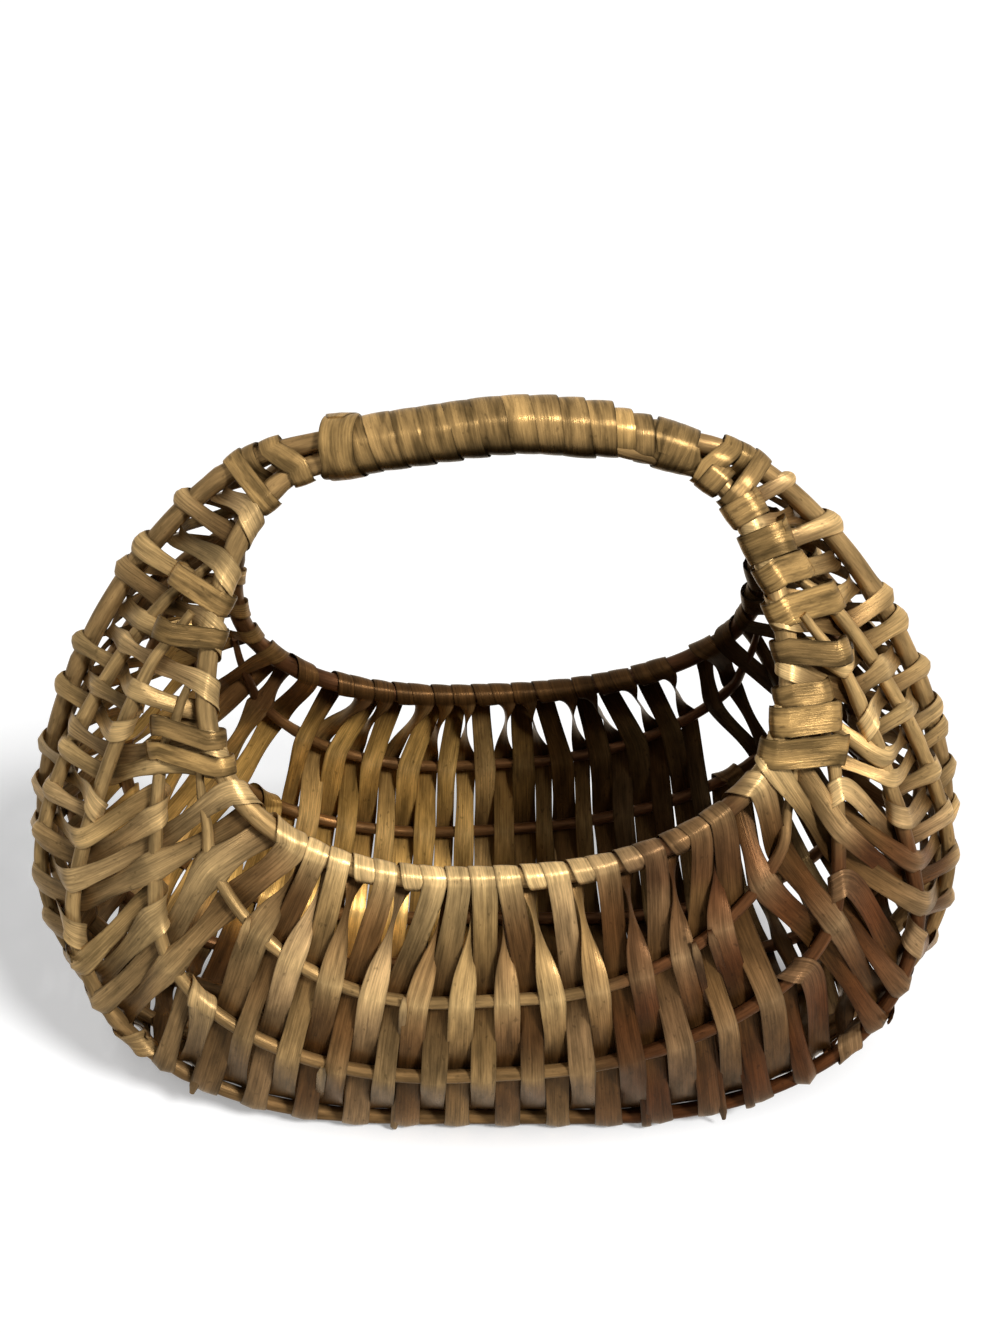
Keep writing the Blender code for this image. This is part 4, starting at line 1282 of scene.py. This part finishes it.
class BasketSizes(bpy.types.PropertyGroup):
    """Sizes that a user would change."""

    hoop_radius: bpy.props.FloatProperty(
        name="Hoop radius", description="Radius of the rim and keel hoops", default=0.0040, unit="LENGTH")
    rib_radius: bpy.props.FloatProperty(
        name="Rib radius", description="Radius of the ribs at the middle of their length", default=0.0028,
        unit="LENGTH")
    strip_width: bpy.props.FloatProperty(
        name="Strip width", description="Usual width of a woven strip", default=0.0108, unit="LENGTH")
    strip_thickness: bpy.props.FloatProperty(
        name="Strip thickness", description="Thickness of a woven strip", default=0.0009, unit="LENGTH")
    corner_share: bpy.props.FloatProperty(
        name="Corner share", description="Width of a strip in a corner as a share of its usual width",
        default=1.3, min=0.5, max=2.0, subtype="FACTOR")
    crowding: bpy.props.FloatProperty(
        name="Crowding", description="Half a strip's width as a share of the room to its neighbour",
        default=0.59, min=0.3, max=0.9, subtype="FACTOR")
    side_share: bpy.props.FloatProperty(
        name="Side share", description="Width of a strip up the sides as a share of its usual width",
        default=0.86, min=0.5, max=2.0, subtype="FACTOR")
    side_crowding: bpy.props.FloatProperty(
        name="Side crowding", description="Half a strip's width up the sides as a share of the room there",
        default=0.47, min=0.3, max=0.9, subtype="FACTOR")
    hook_slack: bpy.props.FloatProperty(
        name="Hook slack", description="How far the strips stand off the keel up the sides", default=0.0012,
        unit="LENGTH")
    shingle_angle: bpy.props.FloatProperty(
        name="Shingle angle", description="How far the wraps on a rim lean on one another", default=0.06,
        subtype="ANGLE", unit="ROTATION")


class BasketColours(bpy.types.PropertyGroup):
    """Colours that a user would change."""

    olive: bpy.props.FloatVectorProperty(
        name="Olive", description="Peeled willow, olive", default=(0.262, 0.160, 0.062), subtype="COLOR")
    gold: bpy.props.FloatVectorProperty(
        name="Gold", description="Peeled willow, golden", default=(0.440, 0.268, 0.096), subtype="COLOR")
    # The colour of the painted highlight
    bright: bpy.props.FloatVectorProperty(
        name="Bright", description="Willow rubbed bright", default=(0.78, 0.52, 0.225), subtype="COLOR")
    # Yellow willow, also brightened as painted light on the back left
    lit_honey: bpy.props.FloatVectorProperty(
        name="Honey", description="Varnished willow, yellow", default=(0.70, 0.40, 0.10), subtype="COLOR")
    # Also the colour of the painted highlight at the front right
    pale: bpy.props.FloatVectorProperty(
        name="Pale", description="Fresh split willow", default=(0.54, 0.345, 0.165), subtype="COLOR")
    grey: bpy.props.FloatVectorProperty(
        name="Grey", description="Weathered willow", default=(0.31, 0.205, 0.084), subtype="COLOR")
    russet: bpy.props.FloatVectorProperty(
        name="Russet", description="Red-brown willow", default=(0.088, 0.0245, 0.006), subtype="COLOR")
    # The colour of the painted shade behind a rod
    shade: bpy.props.FloatVectorProperty(
        name="Shade", description="Dull willow behind a rod", default=(0.075, 0.034, 0.010), subtype="COLOR")
    mahogany: bpy.props.FloatVectorProperty(
        name="Mahogany", description="Dark red-brown willow", default=(0.085, 0.032, 0.013), subtype="COLOR")
    # The colour of the painted shadow inside the back right
    painted_shadow: bpy.props.FloatVectorProperty(
        name="Smoke", description="Nearly black willow", default=(0.040, 0.019, 0.007), subtype="COLOR")


class BASKET_OT_strips(bpy.types.Operator):
    """Weave the flat strips over and under the rods"""

    bl_idname = "basket.strips"
    bl_label = "Weave strips"

    def execute(self, context):
        sizes = context.scene.basket_sizes
        colours = context.scene.basket_colours
        material = willow_material("varnished_split_willow", roughness=0.33, edge_shade=0.45,
                                   fibre_scale=1500.0, contrast=0.37)
        weaver = Weaver(Skeleton(sizes), sizes, colours)
        for number, sections in enumerate(weaver.strips(), 1):
            name = f"woven_strip_{number:02d}"
            mesh = strip_mesh(name, sections, sizes.strip_thickness, weaver.tone_at, number)
            add_piece(name, mesh, material, [f"weaver_{number:02d}"])
        return {"FINISHED"}


# The rods' bark and age, the step between their points, and how a rib's ends are tucked in and thin out
ROD_AGE = 0.8
BARK_GOLD_SHARE = 0.5
BARK_RUSSET_SHARE = 0.25
BARK_DARK_SHARE = 0.8
BARK_DARK_Y = (-0.02, 0.04)
ROD_STEP = 0.003
RIB_TUCK_LENGTH = 0.010
RIB_TUCK_DEPTH = 0.0035
RIB_TUCK_FADE = 0.018
RIB_TIP_SHARE = 0.55
RIB_TIP_LENGTH = 0.045


def hoop_line(skeleton, index):
    """Points of a closed hoop, from the middle of its base to the right, along the grip and back."""
    end = skeleton.rods[folded(index)].end
    steps = int(end / ROD_STEP)
    marks = [end * step / steps for step in range(steps + 1)]
    return [skeleton.point(index, mark) for mark in marks + [-mark for mark in marks[-2:0:-1]]]


def rib_line(skeleton, number, index, shift):
    """Points and radii of a rib, tucked in beside the rim's leg and thinner at both ends."""
    last = max(skeleton.places[number][shift].values())
    end = min(skeleton.rods[number].end, skeleton.rib_ends[number] + RIB_TUCK_LENGTH)
    steps = int(end / ROD_STEP)
    points = []
    radii = []
    for step in range(-steps, steps + 1):
        mark = end * step / steps
        point = skeleton.point(index, mark)
        inward = Vector((-point.x, -point.y, 0.0)).normalized()
        tucked = smoothstep(last, last + RIB_TUCK_FADE, abs(mark))
        points.append(point + inward * RIB_TUCK_DEPTH * tucked)
        to_tip = min(1.0, (end - abs(mark)) / RIB_TIP_LENGTH)
        radii.append(skeleton.radius(index) * (RIB_TIP_SHARE + (1 - RIB_TIP_SHARE) * to_tip))
    return points, radii


class BASKET_OT_rods(bpy.types.Operator):
    """Make the hoops and ribs as slightly uneven willow rods"""

    bl_idname = "basket.rods"
    bl_label = "Make rods"

    def execute(self, context):
        sizes = context.scene.basket_sizes
        colours = context.scene.basket_colours
        skeleton = Skeleton(sizes)
        weaver = Weaver(skeleton, sizes, colours)
        dice = random.Random(SEED + 1)
        hoop_material = willow_material("varnished_hoop_rod", roughness=0.33, edge_shade=1.0,
                                        fibre_scale=700.0, contrast=0.26)
        rib_material = willow_material("varnished_rib_rod", roughness=0.35, edge_shade=1.0,
                                       fibre_scale=900.0, contrast=0.26)
        peeled = blend_colours(colours.olive, colours.gold, BARK_GOLD_SHARE)
        bark = blend_colours(peeled, colours.russet, BARK_RUSSET_SHARE)

        def tone(point):
            # tone_at's default share of painted light gives the rods a slight painted highlight, and slight
            # painted shade at the back
            aged = weaver.tone_at((*bark, ROD_AGE), point)
            return blend_colours(aged, colours.mahogany, BARK_DARK_SHARE * smoothstep(*BARK_DARK_Y, point.y))

        for word, index in (("front_rim", 0), ("keel", LAST // 2), ("back_rim", LAST)):
            points = hoop_line(skeleton, index)
            name = f"{word}_rod"
            mesh = rod_mesh(name, points, [sizes.hoop_radius] * len(points), tone, index, True, dice)
            add_piece(name, mesh, hoop_material, [f"{word}_hoop"])
        for number in range(1, LAST // 2):
            for shift, (word, index) in enumerate((("front", number), ("back", LAST - number))):
                points, radii = rib_line(skeleton, number, index, shift)
                name = f"{word}_rib_rod_{number}"
                mesh = rod_mesh(name, points, radii, tone, index, False, dice)
                add_piece(name, mesh, rib_material, [f"{word}_rib_{number}"])
        return {"FINISHED"}


# The grip's binding: padded as far as its right shoulder, then tight on the three hoops
GRIP_START = -0.0635
PAD_END = 0.0455
PAD_FADE_BEFORE = 0.011
PAD_FADE_AFTER = 0.002
GRIP_END = 0.068
PAD_PITCH = 0.0103
TIGHT_PITCH = 0.0075
PAD_REACH = 0.0108
TIGHT_REACH = 0.0086
PAD_DROP = 0.0044
TIGHT_DROP = 0.0040
PAD_RISE = 0.0026
PAD_HIGH_PLACE = 0.008
PAD_HIGH_REACH = 0.028
GRIP_OVERLAP_SHARE = 0.58
GRIP_SHINGLE = 0.05
TURN_STEPS = 36
TURN_VARIETY = (0.985, 1.015)
LAP_GROWTH = 0.05

# The grip's colour: how much olive a turn has and how light it is, and the painted shade that darkens the
# grip's underside
GRIP_OLIVE_SHARES = (-0.25, 0.65)
GRIP_LIGHTS = (0.78, 1.18)
UNDERSIDE_SHADE = 0.16
UPPER_SIDE_GAIN = 0.94
UNDERSIDE_FADE = (-0.85, 0.35)

# The collars at the grip's ends: their place and how far they reach to both sides of it, half the strip's
# width, how often they go round, and the angle that they start at
LEFT_COLLAR_X = -0.0593
LEFT_COLLAR_SPAN = (-0.001, 0.001)
LEFT_COLLAR_HALF = 0.0068
LEFT_COLLAR_LEAN = 0.25
LEFT_COLLAR_LAPS = 1.12
LEFT_COLLAR_START = 2.2
RIGHT_COLLAR_X = 0.0690
RIGHT_COLLAR_SPAN = (-0.004, 0.005)
RIGHT_COLLAR_HALF = 0.0062
RIGHT_COLLAR_LAPS = 2.1
RIGHT_COLLAR_START = 0.6
COLLAR_LIFT = 0.0012

# The first number of each kind of tie, which picks the stretch of grain that it shows
GRIP_NUMBER = 77
LOOP_NUMBER = 80
BAND_NUMBER = 90
WRAP_NUMBER = 105
TUCK_NUMBER = 110


def grip_tone(colours, dice):
    """The brassy colour of one turn of the grip."""
    tone = blend_colours(colours.gold, colours.olive, dice.uniform(*GRIP_OLIVE_SHARES))
    light = dice.uniform(*GRIP_LIGHTS)
    return tuple(value * light for value in tone)


def grip_sections(colours, dice):
    """The binding's one strip, wound from the left shoulder to the right."""
    sections = []
    x = GRIP_START
    order = 0
    tone = grip_tone(colours, dice)
    while x < GRIP_END:
        tight = smoothstep(PAD_END - PAD_FADE_BEFORE, PAD_END + PAD_FADE_AFTER, x)
        pitch = PAD_PITCH + (TIGHT_PITCH - PAD_PITCH) * tight
        reach = PAD_REACH + (TIGHT_REACH - PAD_REACH) * tight
        slope = Vector((1.0, 0.0, HANDLE_SLANT - 2 * GRIP_DROP * x / GRIP_HALF ** 2)).normalized()
        up = Vector((-slope.z, 0.0, slope.x))
        top = GRIP_TOP - GRIP_DROP * (x / GRIP_HALF) ** 2 + handle_lift(x, GRIP_TOP)
        top += PAD_RISE * math.exp(-((x - PAD_HIGH_PLACE) / PAD_HIGH_REACH) ** 2)
        middle = Vector((x, 0.0, top - (PAD_DROP + (TIGHT_DROP - PAD_DROP) * tight)))
        angle = -2 * math.pi * order / TURN_STEPS
        radial = up * math.sin(angle) - Vector((0.0, math.cos(angle), 0.0))
        across = (slope + radial * GRIP_SHINGLE).normalized()
        half = pitch * GRIP_OVERLAP_SHARE * dice.uniform(*TURN_VARIETY)
        # Painted shade: the grip's underside is darkened as if the light fell from above
        shade = UNDERSIDE_SHADE + UPPER_SIDE_GAIN * smoothstep(*UNDERSIDE_FADE, radial.z)
        shaded = tuple(value * shade for value in tone)
        sections.append(Section(middle + radial * reach, across, half, 0.0, 1.0, shaded))
        x += pitch / TURN_STEPS
        order += 1
        if order % TURN_STEPS == TURN_STEPS // 2:
            tone = grip_tone(colours, dice)
    return sections


def band_sections(centers, axis, reaches, half, laps, tone, start):
    """A strip wound round a bundle, from its first to its last center; reaches are sideways and upright."""
    side = Vector((0.0, -1.0, 0.0))
    side = (side - axis * side.dot(axis)).normalized()
    up = side.cross(axis).normalized()
    if up.z < 0:
        up = -up
    count = round(TURN_STEPS * laps)
    sections = []
    for order in range(count + 1):
        share = order / count
        angle = start - 2 * math.pi * laps * share
        grow = 1 + LAP_GROWTH * share
        radial = side * math.cos(angle) * reaches[0] + up * math.sin(angle) * reaches[1]
        center = centers[0].lerp(centers[1], share)
        across = (axis + radial.normalized() * GRIP_SHINGLE).normalized()
        sections.append(Section(center + radial * grow, across, half, 0.0, 1.0, tone))
    return sections


# Loose loops that tie the keel to a rim beside the grip: rim, place along the keel, half the width
SHOULDER_LOOPS = (
    (0, -0.0995, 0.0040), (LAST, -0.094, 0.0040), (0, -0.0865, 0.0042),
    (0, 0.1000, 0.0040), (LAST, 0.0945, 0.0040), (0, 0.0895, 0.0042),
)
LOOP_SLACK = 0.0007
LOOP_LEAN = 0.010
LOOP_BELLY = 0.25
LOOP_DEGREES = 15
LOOP_REACH_STEPS = 6
LOOP_CURL = 0.15
# Share of painted light on a loop's reaches and turns, for bands that take the wall's colouring
LOOP_REACH_PAINTED_LIGHT = 0.35
LOOP_TURN_PAINTED_LIGHT = 0.65
LOOP_VARIETY = (0.95, 1.05)

# Bands that tie the tips of the ribs to the rims' legs: rim, which leg, height, rib, half the width
LEG_BANDS = (
    (0, 1, 0.233, 4, 0.0054), (0, 1, 0.2205, 4, 0.0060), (0, 1, 0.208, 3, 0.0048),
    (0, 1, 0.193, 2, 0.0042), (0, 1, 0.184, 2, 0.0058), (0, 1, 0.173, 2, 0.0058),
    (0, -1, 0.2275, 4, 0.0046), (0, -1, 0.2155, 3, 0.0044), (0, -1, 0.182, 2, 0.0038),
    (0, -1, 0.1735, 2, 0.0036), (LAST, 1, 0.236, 4, 0.0060), (LAST, 1, 0.222, 4, 0.0062),
    (LAST, 1, 0.207, 3, 0.0060), (LAST, 1, 0.192, 2, 0.0050),
)
BAND_REACH = 0.0060

# Tight wraps on the front rim below the grip's right end: height, shift outwards, reach forwards and
# outwards, half the width
WRAP_SPAN = (-0.002, 0.002)
WRAP_LAPS = 1.6
WRAP_START = -1.6
SHOULDER_WRAPS = (
    (0.2660, 0.000, 0.0062, 0.0064, 0.0044), (0.2560, 0.001, 0.0064, 0.0076, 0.0052),
    (0.2445, 0.003, 0.0068, 0.0094, 0.0062),
)

# Ends of strips tucked in beside a row: half of the basket, row, first and last member, side at the first,
# shift along the members, half the width
TUCKED_ENDS = (
    (1, 5, 2, 4, -1, 0.0050, 0.0021), (1, 8, 1, 3, 1, 0.0050, 0.0017), (1, 10, 1, 4, 1, -0.0050, 0.0019),
    (1, 13, 3, 5, -1, 0.0050, 0.0022), (1, 17, 3, 5, 1, -0.0045, 0.0021), (-1, 3, 1, 3, 1, 0.0050, 0.0016),
    (-1, 7, 2, 4, 1, -0.0048, 0.0019), (-1, 11, 1, 3, 1, 0.0045, 0.0020), (-1, 14, 3, 5, -1, 0.0050, 0.0022),
    (-1, 19, 3, 5, 1, 0.0045, 0.0020), (1, 2, 6, 8, 1, 0.0050, 0.0018), (-1, 4, 6, 8, 1, 0.0050, 0.0018),
)
TUCKED_TAIL = 0.005
TUCKED_LIFT = 0.0011
# Share of painted light where a tucked end starts
TUCKED_PAINTED_LIGHT = 0.3


def tucked_sections(weaver, half_side, row, first, last, side, shift, half):
    """A short narrow strip that follows a row over a few members and ends free on both sides."""
    skeleton = weaver.skeleton
    places = [(index, length + half_side * shift) for index, length in row_members(skeleton, row, half_side)
              if first <= index <= last]
    points = [skeleton.point(index, length) for index, length in places]
    spots = []
    for step, (index, length) in enumerate(places):
        before = points[step - 1] if step else None
        after = points[step + 1] if step + 1 < len(points) else None
        spot = crossing(skeleton, index, length, side, before, after, True, half, 0.0, weaver.sizes)
        spots.append(spot._replace(point=spot.point + (spot.point - points[step]).normalized() * TUCKED_LIFT))
        side = -side
    ends = (spots[0]._replace(point=spots[0].point - spots[0].ahead * TUCKED_TAIL),
            spots[-1]._replace(point=spots[-1].point + spots[-1].ahead * TUCKED_TAIL))
    spots = [ends[0], *spots, ends[1]]
    tone = weaver.row_tone()
    sections = [Section(ends[0].point, ends[0].across, half, 0.0, TUCKED_PAINTED_LIGHT, tone)]
    for start, finish in zip(spots, spots[1:]):
        sections += [Section(*section, tone) for section in weaver.span(start, finish, "wall")]
        sections.append(Section(finish.point, finish.across, half, 0.0, finish.wear, tone))
    return sections


def loop_sections(upper, lower, axis, reach, half, belly, tone, dice):
    """A strip laid round two rods: up over the outside, round the upper one and back down the inside."""
    along = (upper - lower).normalized()
    along = (along - axis * along.dot(axis)).normalized()
    out = along.cross(axis).normalized()
    if out.dot(Vector((lower.x + upper.x, lower.y + upper.y, 0.0))) < 0:
        out = -out
    path = []
    for center, first in ((lower, 180), (upper, 0)):
        for turn in range(0, 180 + LOOP_DEGREES, LOOP_DEGREES):
            angle = math.radians(first + turn)
            path.append((center, out * math.cos(angle) + along * math.sin(angle)))
    path.append(path[0])
    sections = []
    for order, (center, radial) in enumerate(path):
        if order and path[order - 1][0] is not center:
            before = path[order - 1]
            for step in range(1, LOOP_REACH_STEPS):
                share = step / LOOP_REACH_STEPS
                bulge = 1 + belly * math.sin(math.pi * share)
                middle = before[0].lerp(center, share) + before[1].lerp(radial, share) * reach * bulge
                sections.append(Section(middle, axis, half, LOOP_CURL, LOOP_REACH_PAINTED_LIGHT, tone))
        varied = half * dice.uniform(*LOOP_VARIETY)
        sections.append(Section(center + radial * reach, axis, varied, 0.0, LOOP_TURN_PAINTED_LIGHT, tone))
    return sections


def plain(tone, center, wear):
    """A strip's own tone, whatever its place or its share of painted light."""
    return tone


def grip_willow():
    """The grip's willow, glossier and with more painted shade along its edges and darker stains than the
    wall's.
    """
    return willow_material("glossy_grip_willow", roughness=0.28, edge_shade=0.22, fibre_scale=1400.0,
                           contrast=0.28, stain=0.36)


def add_tie(name, sections, tone_at, number, sizes, material, nodes=()):
    """One short strip that is tied round rods, as a piece of its own."""
    mesh = strip_mesh(name, sections, sizes.strip_thickness, tone_at, number)
    add_piece(name, mesh, material, nodes)


def shoulder_length(rod, x):
    """The length along a hoop where its shoulder comes in to a place along the grip, negative on the left."""
    return math.copysign(rod.length_where(lambda p: p.z > RIM_WIDE_HEIGHT and p.x < abs(x)), x)


def bundle_at(skeleton, x):
    """Middle of the three hoops at a place beyond the grip, their way and the bundle's half sizes."""
    rods = (skeleton.rods[LAST // 2], skeleton.rods[0])
    lengths = [shoulder_length(rod, x) for rod in rods]
    keel_place, rim_place = (rod.at(length) for rod, length in zip(rods, lengths))
    middle = Vector((keel_place.x, 0.0, (keel_place.z + rim_place.z) / 2))
    return middle, rods[1].tangent(lengths[1]), abs(rim_place.y), (keel_place.z - rim_place.z) / 2


class BASKET_OT_grip(bpy.types.Operator):
    """Bind the grip with one flat strip and tie its two ends"""

    bl_idname = "basket.grip"
    bl_label = "Bind grip"

    def execute(self, context):
        sizes = context.scene.basket_sizes
        colours = context.scene.basket_colours
        dice = random.Random(SEED + 2)
        material = grip_willow()
        sections = grip_sections(colours, dice)
        add_tie("grip_binding", sections, plain, GRIP_NUMBER, sizes, material,
                ["handle_winding"])
        skeleton = Skeleton(sizes)
        middle, axis = bundle_at(skeleton, LEFT_COLLAR_X)[:2]
        lean = (axis + Vector((0.0, LEFT_COLLAR_LEAN, 0.0))).normalized()
        reach = PAD_REACH + COLLAR_LIFT
        centers = [middle + axis * end for end in LEFT_COLLAR_SPAN]
        collar = band_sections(centers, lean, (reach, reach), LEFT_COLLAR_HALF, LEFT_COLLAR_LAPS,
                               grip_tone(colours, dice), LEFT_COLLAR_START)
        add_tie("grip_collar_left", collar, plain, GRIP_NUMBER + 1, sizes, material)
        middle, axis, wide, high = bundle_at(skeleton, RIGHT_COLLAR_X)
        reaches = (wide + sizes.hoop_radius + COLLAR_LIFT, high + sizes.hoop_radius + COLLAR_LIFT)
        centers = [middle + axis * end for end in RIGHT_COLLAR_SPAN]
        collar = band_sections(centers, axis, reaches, RIGHT_COLLAR_HALF, RIGHT_COLLAR_LAPS,
                               grip_tone(colours, dice), RIGHT_COLLAR_START)
        add_tie("grip_collar_right", collar, plain, GRIP_NUMBER + 2, sizes, material)
        return {"FINISHED"}


def tie_shoulders(weaver, dice, material):
    """The loops that tie the keel to a rim beside the grip."""
    skeleton = weaver.skeleton
    sizes = weaver.sizes
    keel = skeleton.rods[LAST // 2]
    reach = sizes.hoop_radius + sizes.strip_thickness + LOOP_SLACK
    for number, (index, x, half) in enumerate(SHOULDER_LOOPS, 1):
        length = shoulder_length(keel, x)
        nearest = shoulder_length(skeleton.rods[0], x - math.copysign(LOOP_LEAN, x))
        axis = (keel.tangent(length) + skeleton.tangent(index, nearest)).normalized()
        loop = loop_sections(keel.at(length), skeleton.point(index, nearest), axis, reach, half, LOOP_BELLY,
                             grip_tone(weaver.colours, dice), dice)
        add_tie(f"shoulder_loop_{number}", loop, plain, LOOP_NUMBER + number, sizes, material)


def tie_legs(weaver, dice, material):
    """The bands that tie the tips of the ribs to the rims' legs."""
    skeleton = weaver.skeleton
    for number, (rim_index, leg, height, rib, half) in enumerate(LEG_BANDS, 1):
        places = []
        for order in (0, rib):
            length = leg * skeleton.rods[order].length_where(lambda p: p.z > height)
            index = abs(rim_index - order)
            places.append((skeleton.point(index, length), skeleton.tangent(index, length)))
        axis = (places[0][1] + places[1][1]).normalized()
        tone = weaver.row_tone() if rim_index else grip_tone(weaver.colours, dice)
        shade = weaver.tone_at if rim_index else plain
        band = loop_sections(places[0][0], places[1][0], axis, BAND_REACH, half, 0.0, tone, dice)
        add_tie(f"leg_band_{number}", band, shade, BAND_NUMBER + number, weaver.sizes, material)


def wrap_shoulder(weaver, dice, material):
    """The tight wraps on the front rim below the grip's right end."""
    rim = weaver.skeleton.rods[0]
    for number, (height, out, deep, wide, half) in enumerate(SHOULDER_WRAPS, 1):
        length = rim.length_where(lambda p: p.z > height)
        middle = rim.at(length) + Vector((out, 0.0, 0.0))
        axis = rim.tangent(length)
        centers = [middle + axis * end for end in WRAP_SPAN]
        wrap = band_sections(centers, axis, (deep, wide), half, WRAP_LAPS, grip_tone(weaver.colours, dice),
                             WRAP_START)
        add_tie(f"shoulder_wrap_{number}", wrap, plain, WRAP_NUMBER + number, weaver.sizes, material)


def tuck_ends(weaver, material):
    """The ends of strips that are tucked in beside a row."""
    for number, entry in enumerate(TUCKED_ENDS, 1):
        end = tucked_sections(weaver, *entry)
        add_tie(f"tucked_end_{number}", end, weaver.tone_at, TUCK_NUMBER + number, weaver.sizes, material)


class BASKET_OT_ties(bpy.types.Operator):
    """Tie the shoulders and the hoop's legs, and tuck in the strips' ends"""

    bl_idname = "basket.ties"
    bl_label = "Tie shoulders and legs"

    def execute(self, context):
        sizes = context.scene.basket_sizes
        weaver = Weaver(Skeleton(sizes), sizes, context.scene.basket_colours)
        dice = random.Random(SEED + 3)
        material = grip_willow()
        tie_shoulders(weaver, dice, material)
        tie_legs(weaver, dice, material)
        wrap_shoulder(weaver, dice, material)
        tuck_ends(weaver, material)
        return {"FINISHED"}


# Lamps: name, where the light comes from, how wide its source looks in degrees, and its energy
LAMPS = (("key", (0.47, -0.60, 0.68), 12.0, 3.4), ("fill", (-0.7, -0.8, 0.9), 40.0, 0.20))
FLOOR_SIZE = 60.0

# The photo's camera: the pixel that it aims at, its distance from the point aimed at, its turns and its lens
PHOTO_SIZE = (1000, 1333)
AIM_PIXEL = (496.1, 734.8)
AIM_HEIGHT = 0.150
FOCAL_PIXELS = 1695.0
SENSOR_WIDTH = 36.0
CAMERA_DISTANCE = 0.709
CAMERA_TILT = math.radians(29.2)
CAMERA_YAW = math.radians(0.37)
CAMERA_ROLL = math.radians(0.36)
CLIP_START = 0.05


def add_floor(context):
    """The sheet of pale paper that the basket stands on."""
    bpy.ops.mesh.primitive_plane_add(size=FLOOR_SIZE, location=(0.0, 0.0, 0.0))
    floor = context.active_object
    floor.name = "floor"
    floor.data.materials.append(paper_material())


def add_lamps(scene):
    """The key and fill lamps."""
    for name, place, spread, energy in LAMPS:
        light = bpy.data.lights.new(name, "SUN")
        light.angle = math.radians(spread)
        light.energy = energy
        lamp = bpy.data.objects.new(name, light)
        scene.collection.objects.link(lamp)
        lamp.location = place
        lamp.rotation_euler = (-Vector(place)).to_track_quat("-Z", "Y").to_euler()


def add_camera(context):
    """The camera that sees the basket as the photo does."""
    bpy.ops.object.camera_add()
    camera = context.active_object
    camera.name = "photo_camera"
    level = math.cos(CAMERA_TILT)
    away = Vector((-math.sin(CAMERA_YAW) * level, -math.cos(CAMERA_YAW) * level, math.sin(CAMERA_TILT)))
    camera.location = Vector((0.0, 0.0, AIM_HEIGHT)) + away * CAMERA_DISTANCE
    camera.rotation_euler = (-away).to_track_quat("-Z", "Y").to_euler()
    camera.rotation_euler.rotate_axis("Z", CAMERA_ROLL)
    camera.data.sensor_fit = "AUTO"
    camera.data.sensor_width = SENSOR_WIDTH
    camera.data.lens = FOCAL_PIXELS * SENSOR_WIDTH / PHOTO_SIZE[1]
    camera.data.shift_x = (PHOTO_SIZE[0] / 2 - AIM_PIXEL[0]) / PHOTO_SIZE[1]
    camera.data.shift_y = (AIM_PIXEL[1] - PHOTO_SIZE[1] / 2) / PHOTO_SIZE[1]
    camera.data.clip_start = CLIP_START
    context.scene.camera = camera


class BASKET_OT_stage(bpy.types.Operator):
    """Set the floor, lamps and camera round the basket"""

    bl_idname = "basket.stage"
    bl_label = "Set stage"

    def execute(self, context):
        add_floor(context)
        context.scene.world = studio_world()
        add_lamps(context.scene)
        add_camera(context)
        context.scene.view_settings.view_transform = "Standard"
        return {"FINISHED"}


class BASKET_PT_panel(bpy.types.Panel):
    """Lists the basket's builders"""

    bl_idname = "BASKET_PT_panel"
    bl_label = "Foraging Basket"
    bl_space_type = "VIEW_3D"
    bl_region_type = "UI"
    bl_category = "Basket"

    def draw(self, context):
        for group in (context.scene.basket_sizes, context.scene.basket_colours):
            for name in group.bl_rna.properties.keys():
                if name not in ("rna_type", "name"):
                    self.layout.prop(group, name)
        for operator in OPERATORS:
            self.layout.operator(operator.bl_idname)


OPERATORS = (BASKET_OT_rods, BASKET_OT_strips, BASKET_OT_grip, BASKET_OT_ties, BASKET_OT_stage)
CLASSES = (BasketSizes, BasketColours, *OPERATORS, BASKET_PT_panel)


def register():
    for entry in CLASSES:
        bpy.utils.register_class(entry)
    bpy.types.Scene.basket_sizes = bpy.props.PointerProperty(type=BasketSizes)
    bpy.types.Scene.basket_colours = bpy.props.PointerProperty(type=BasketColours)


def unregister():
    del bpy.types.Scene.basket_colours
    del bpy.types.Scene.basket_sizes
    for entry in reversed(CLASSES):
        bpy.utils.unregister_class(entry)


def main():
    register()
    bpy.ops.basket.rods()
    bpy.ops.basket.strips()
    bpy.ops.basket.grip()
    bpy.ops.basket.ties()
    bpy.ops.basket.stage()


if __name__ == "__main__":
    main()
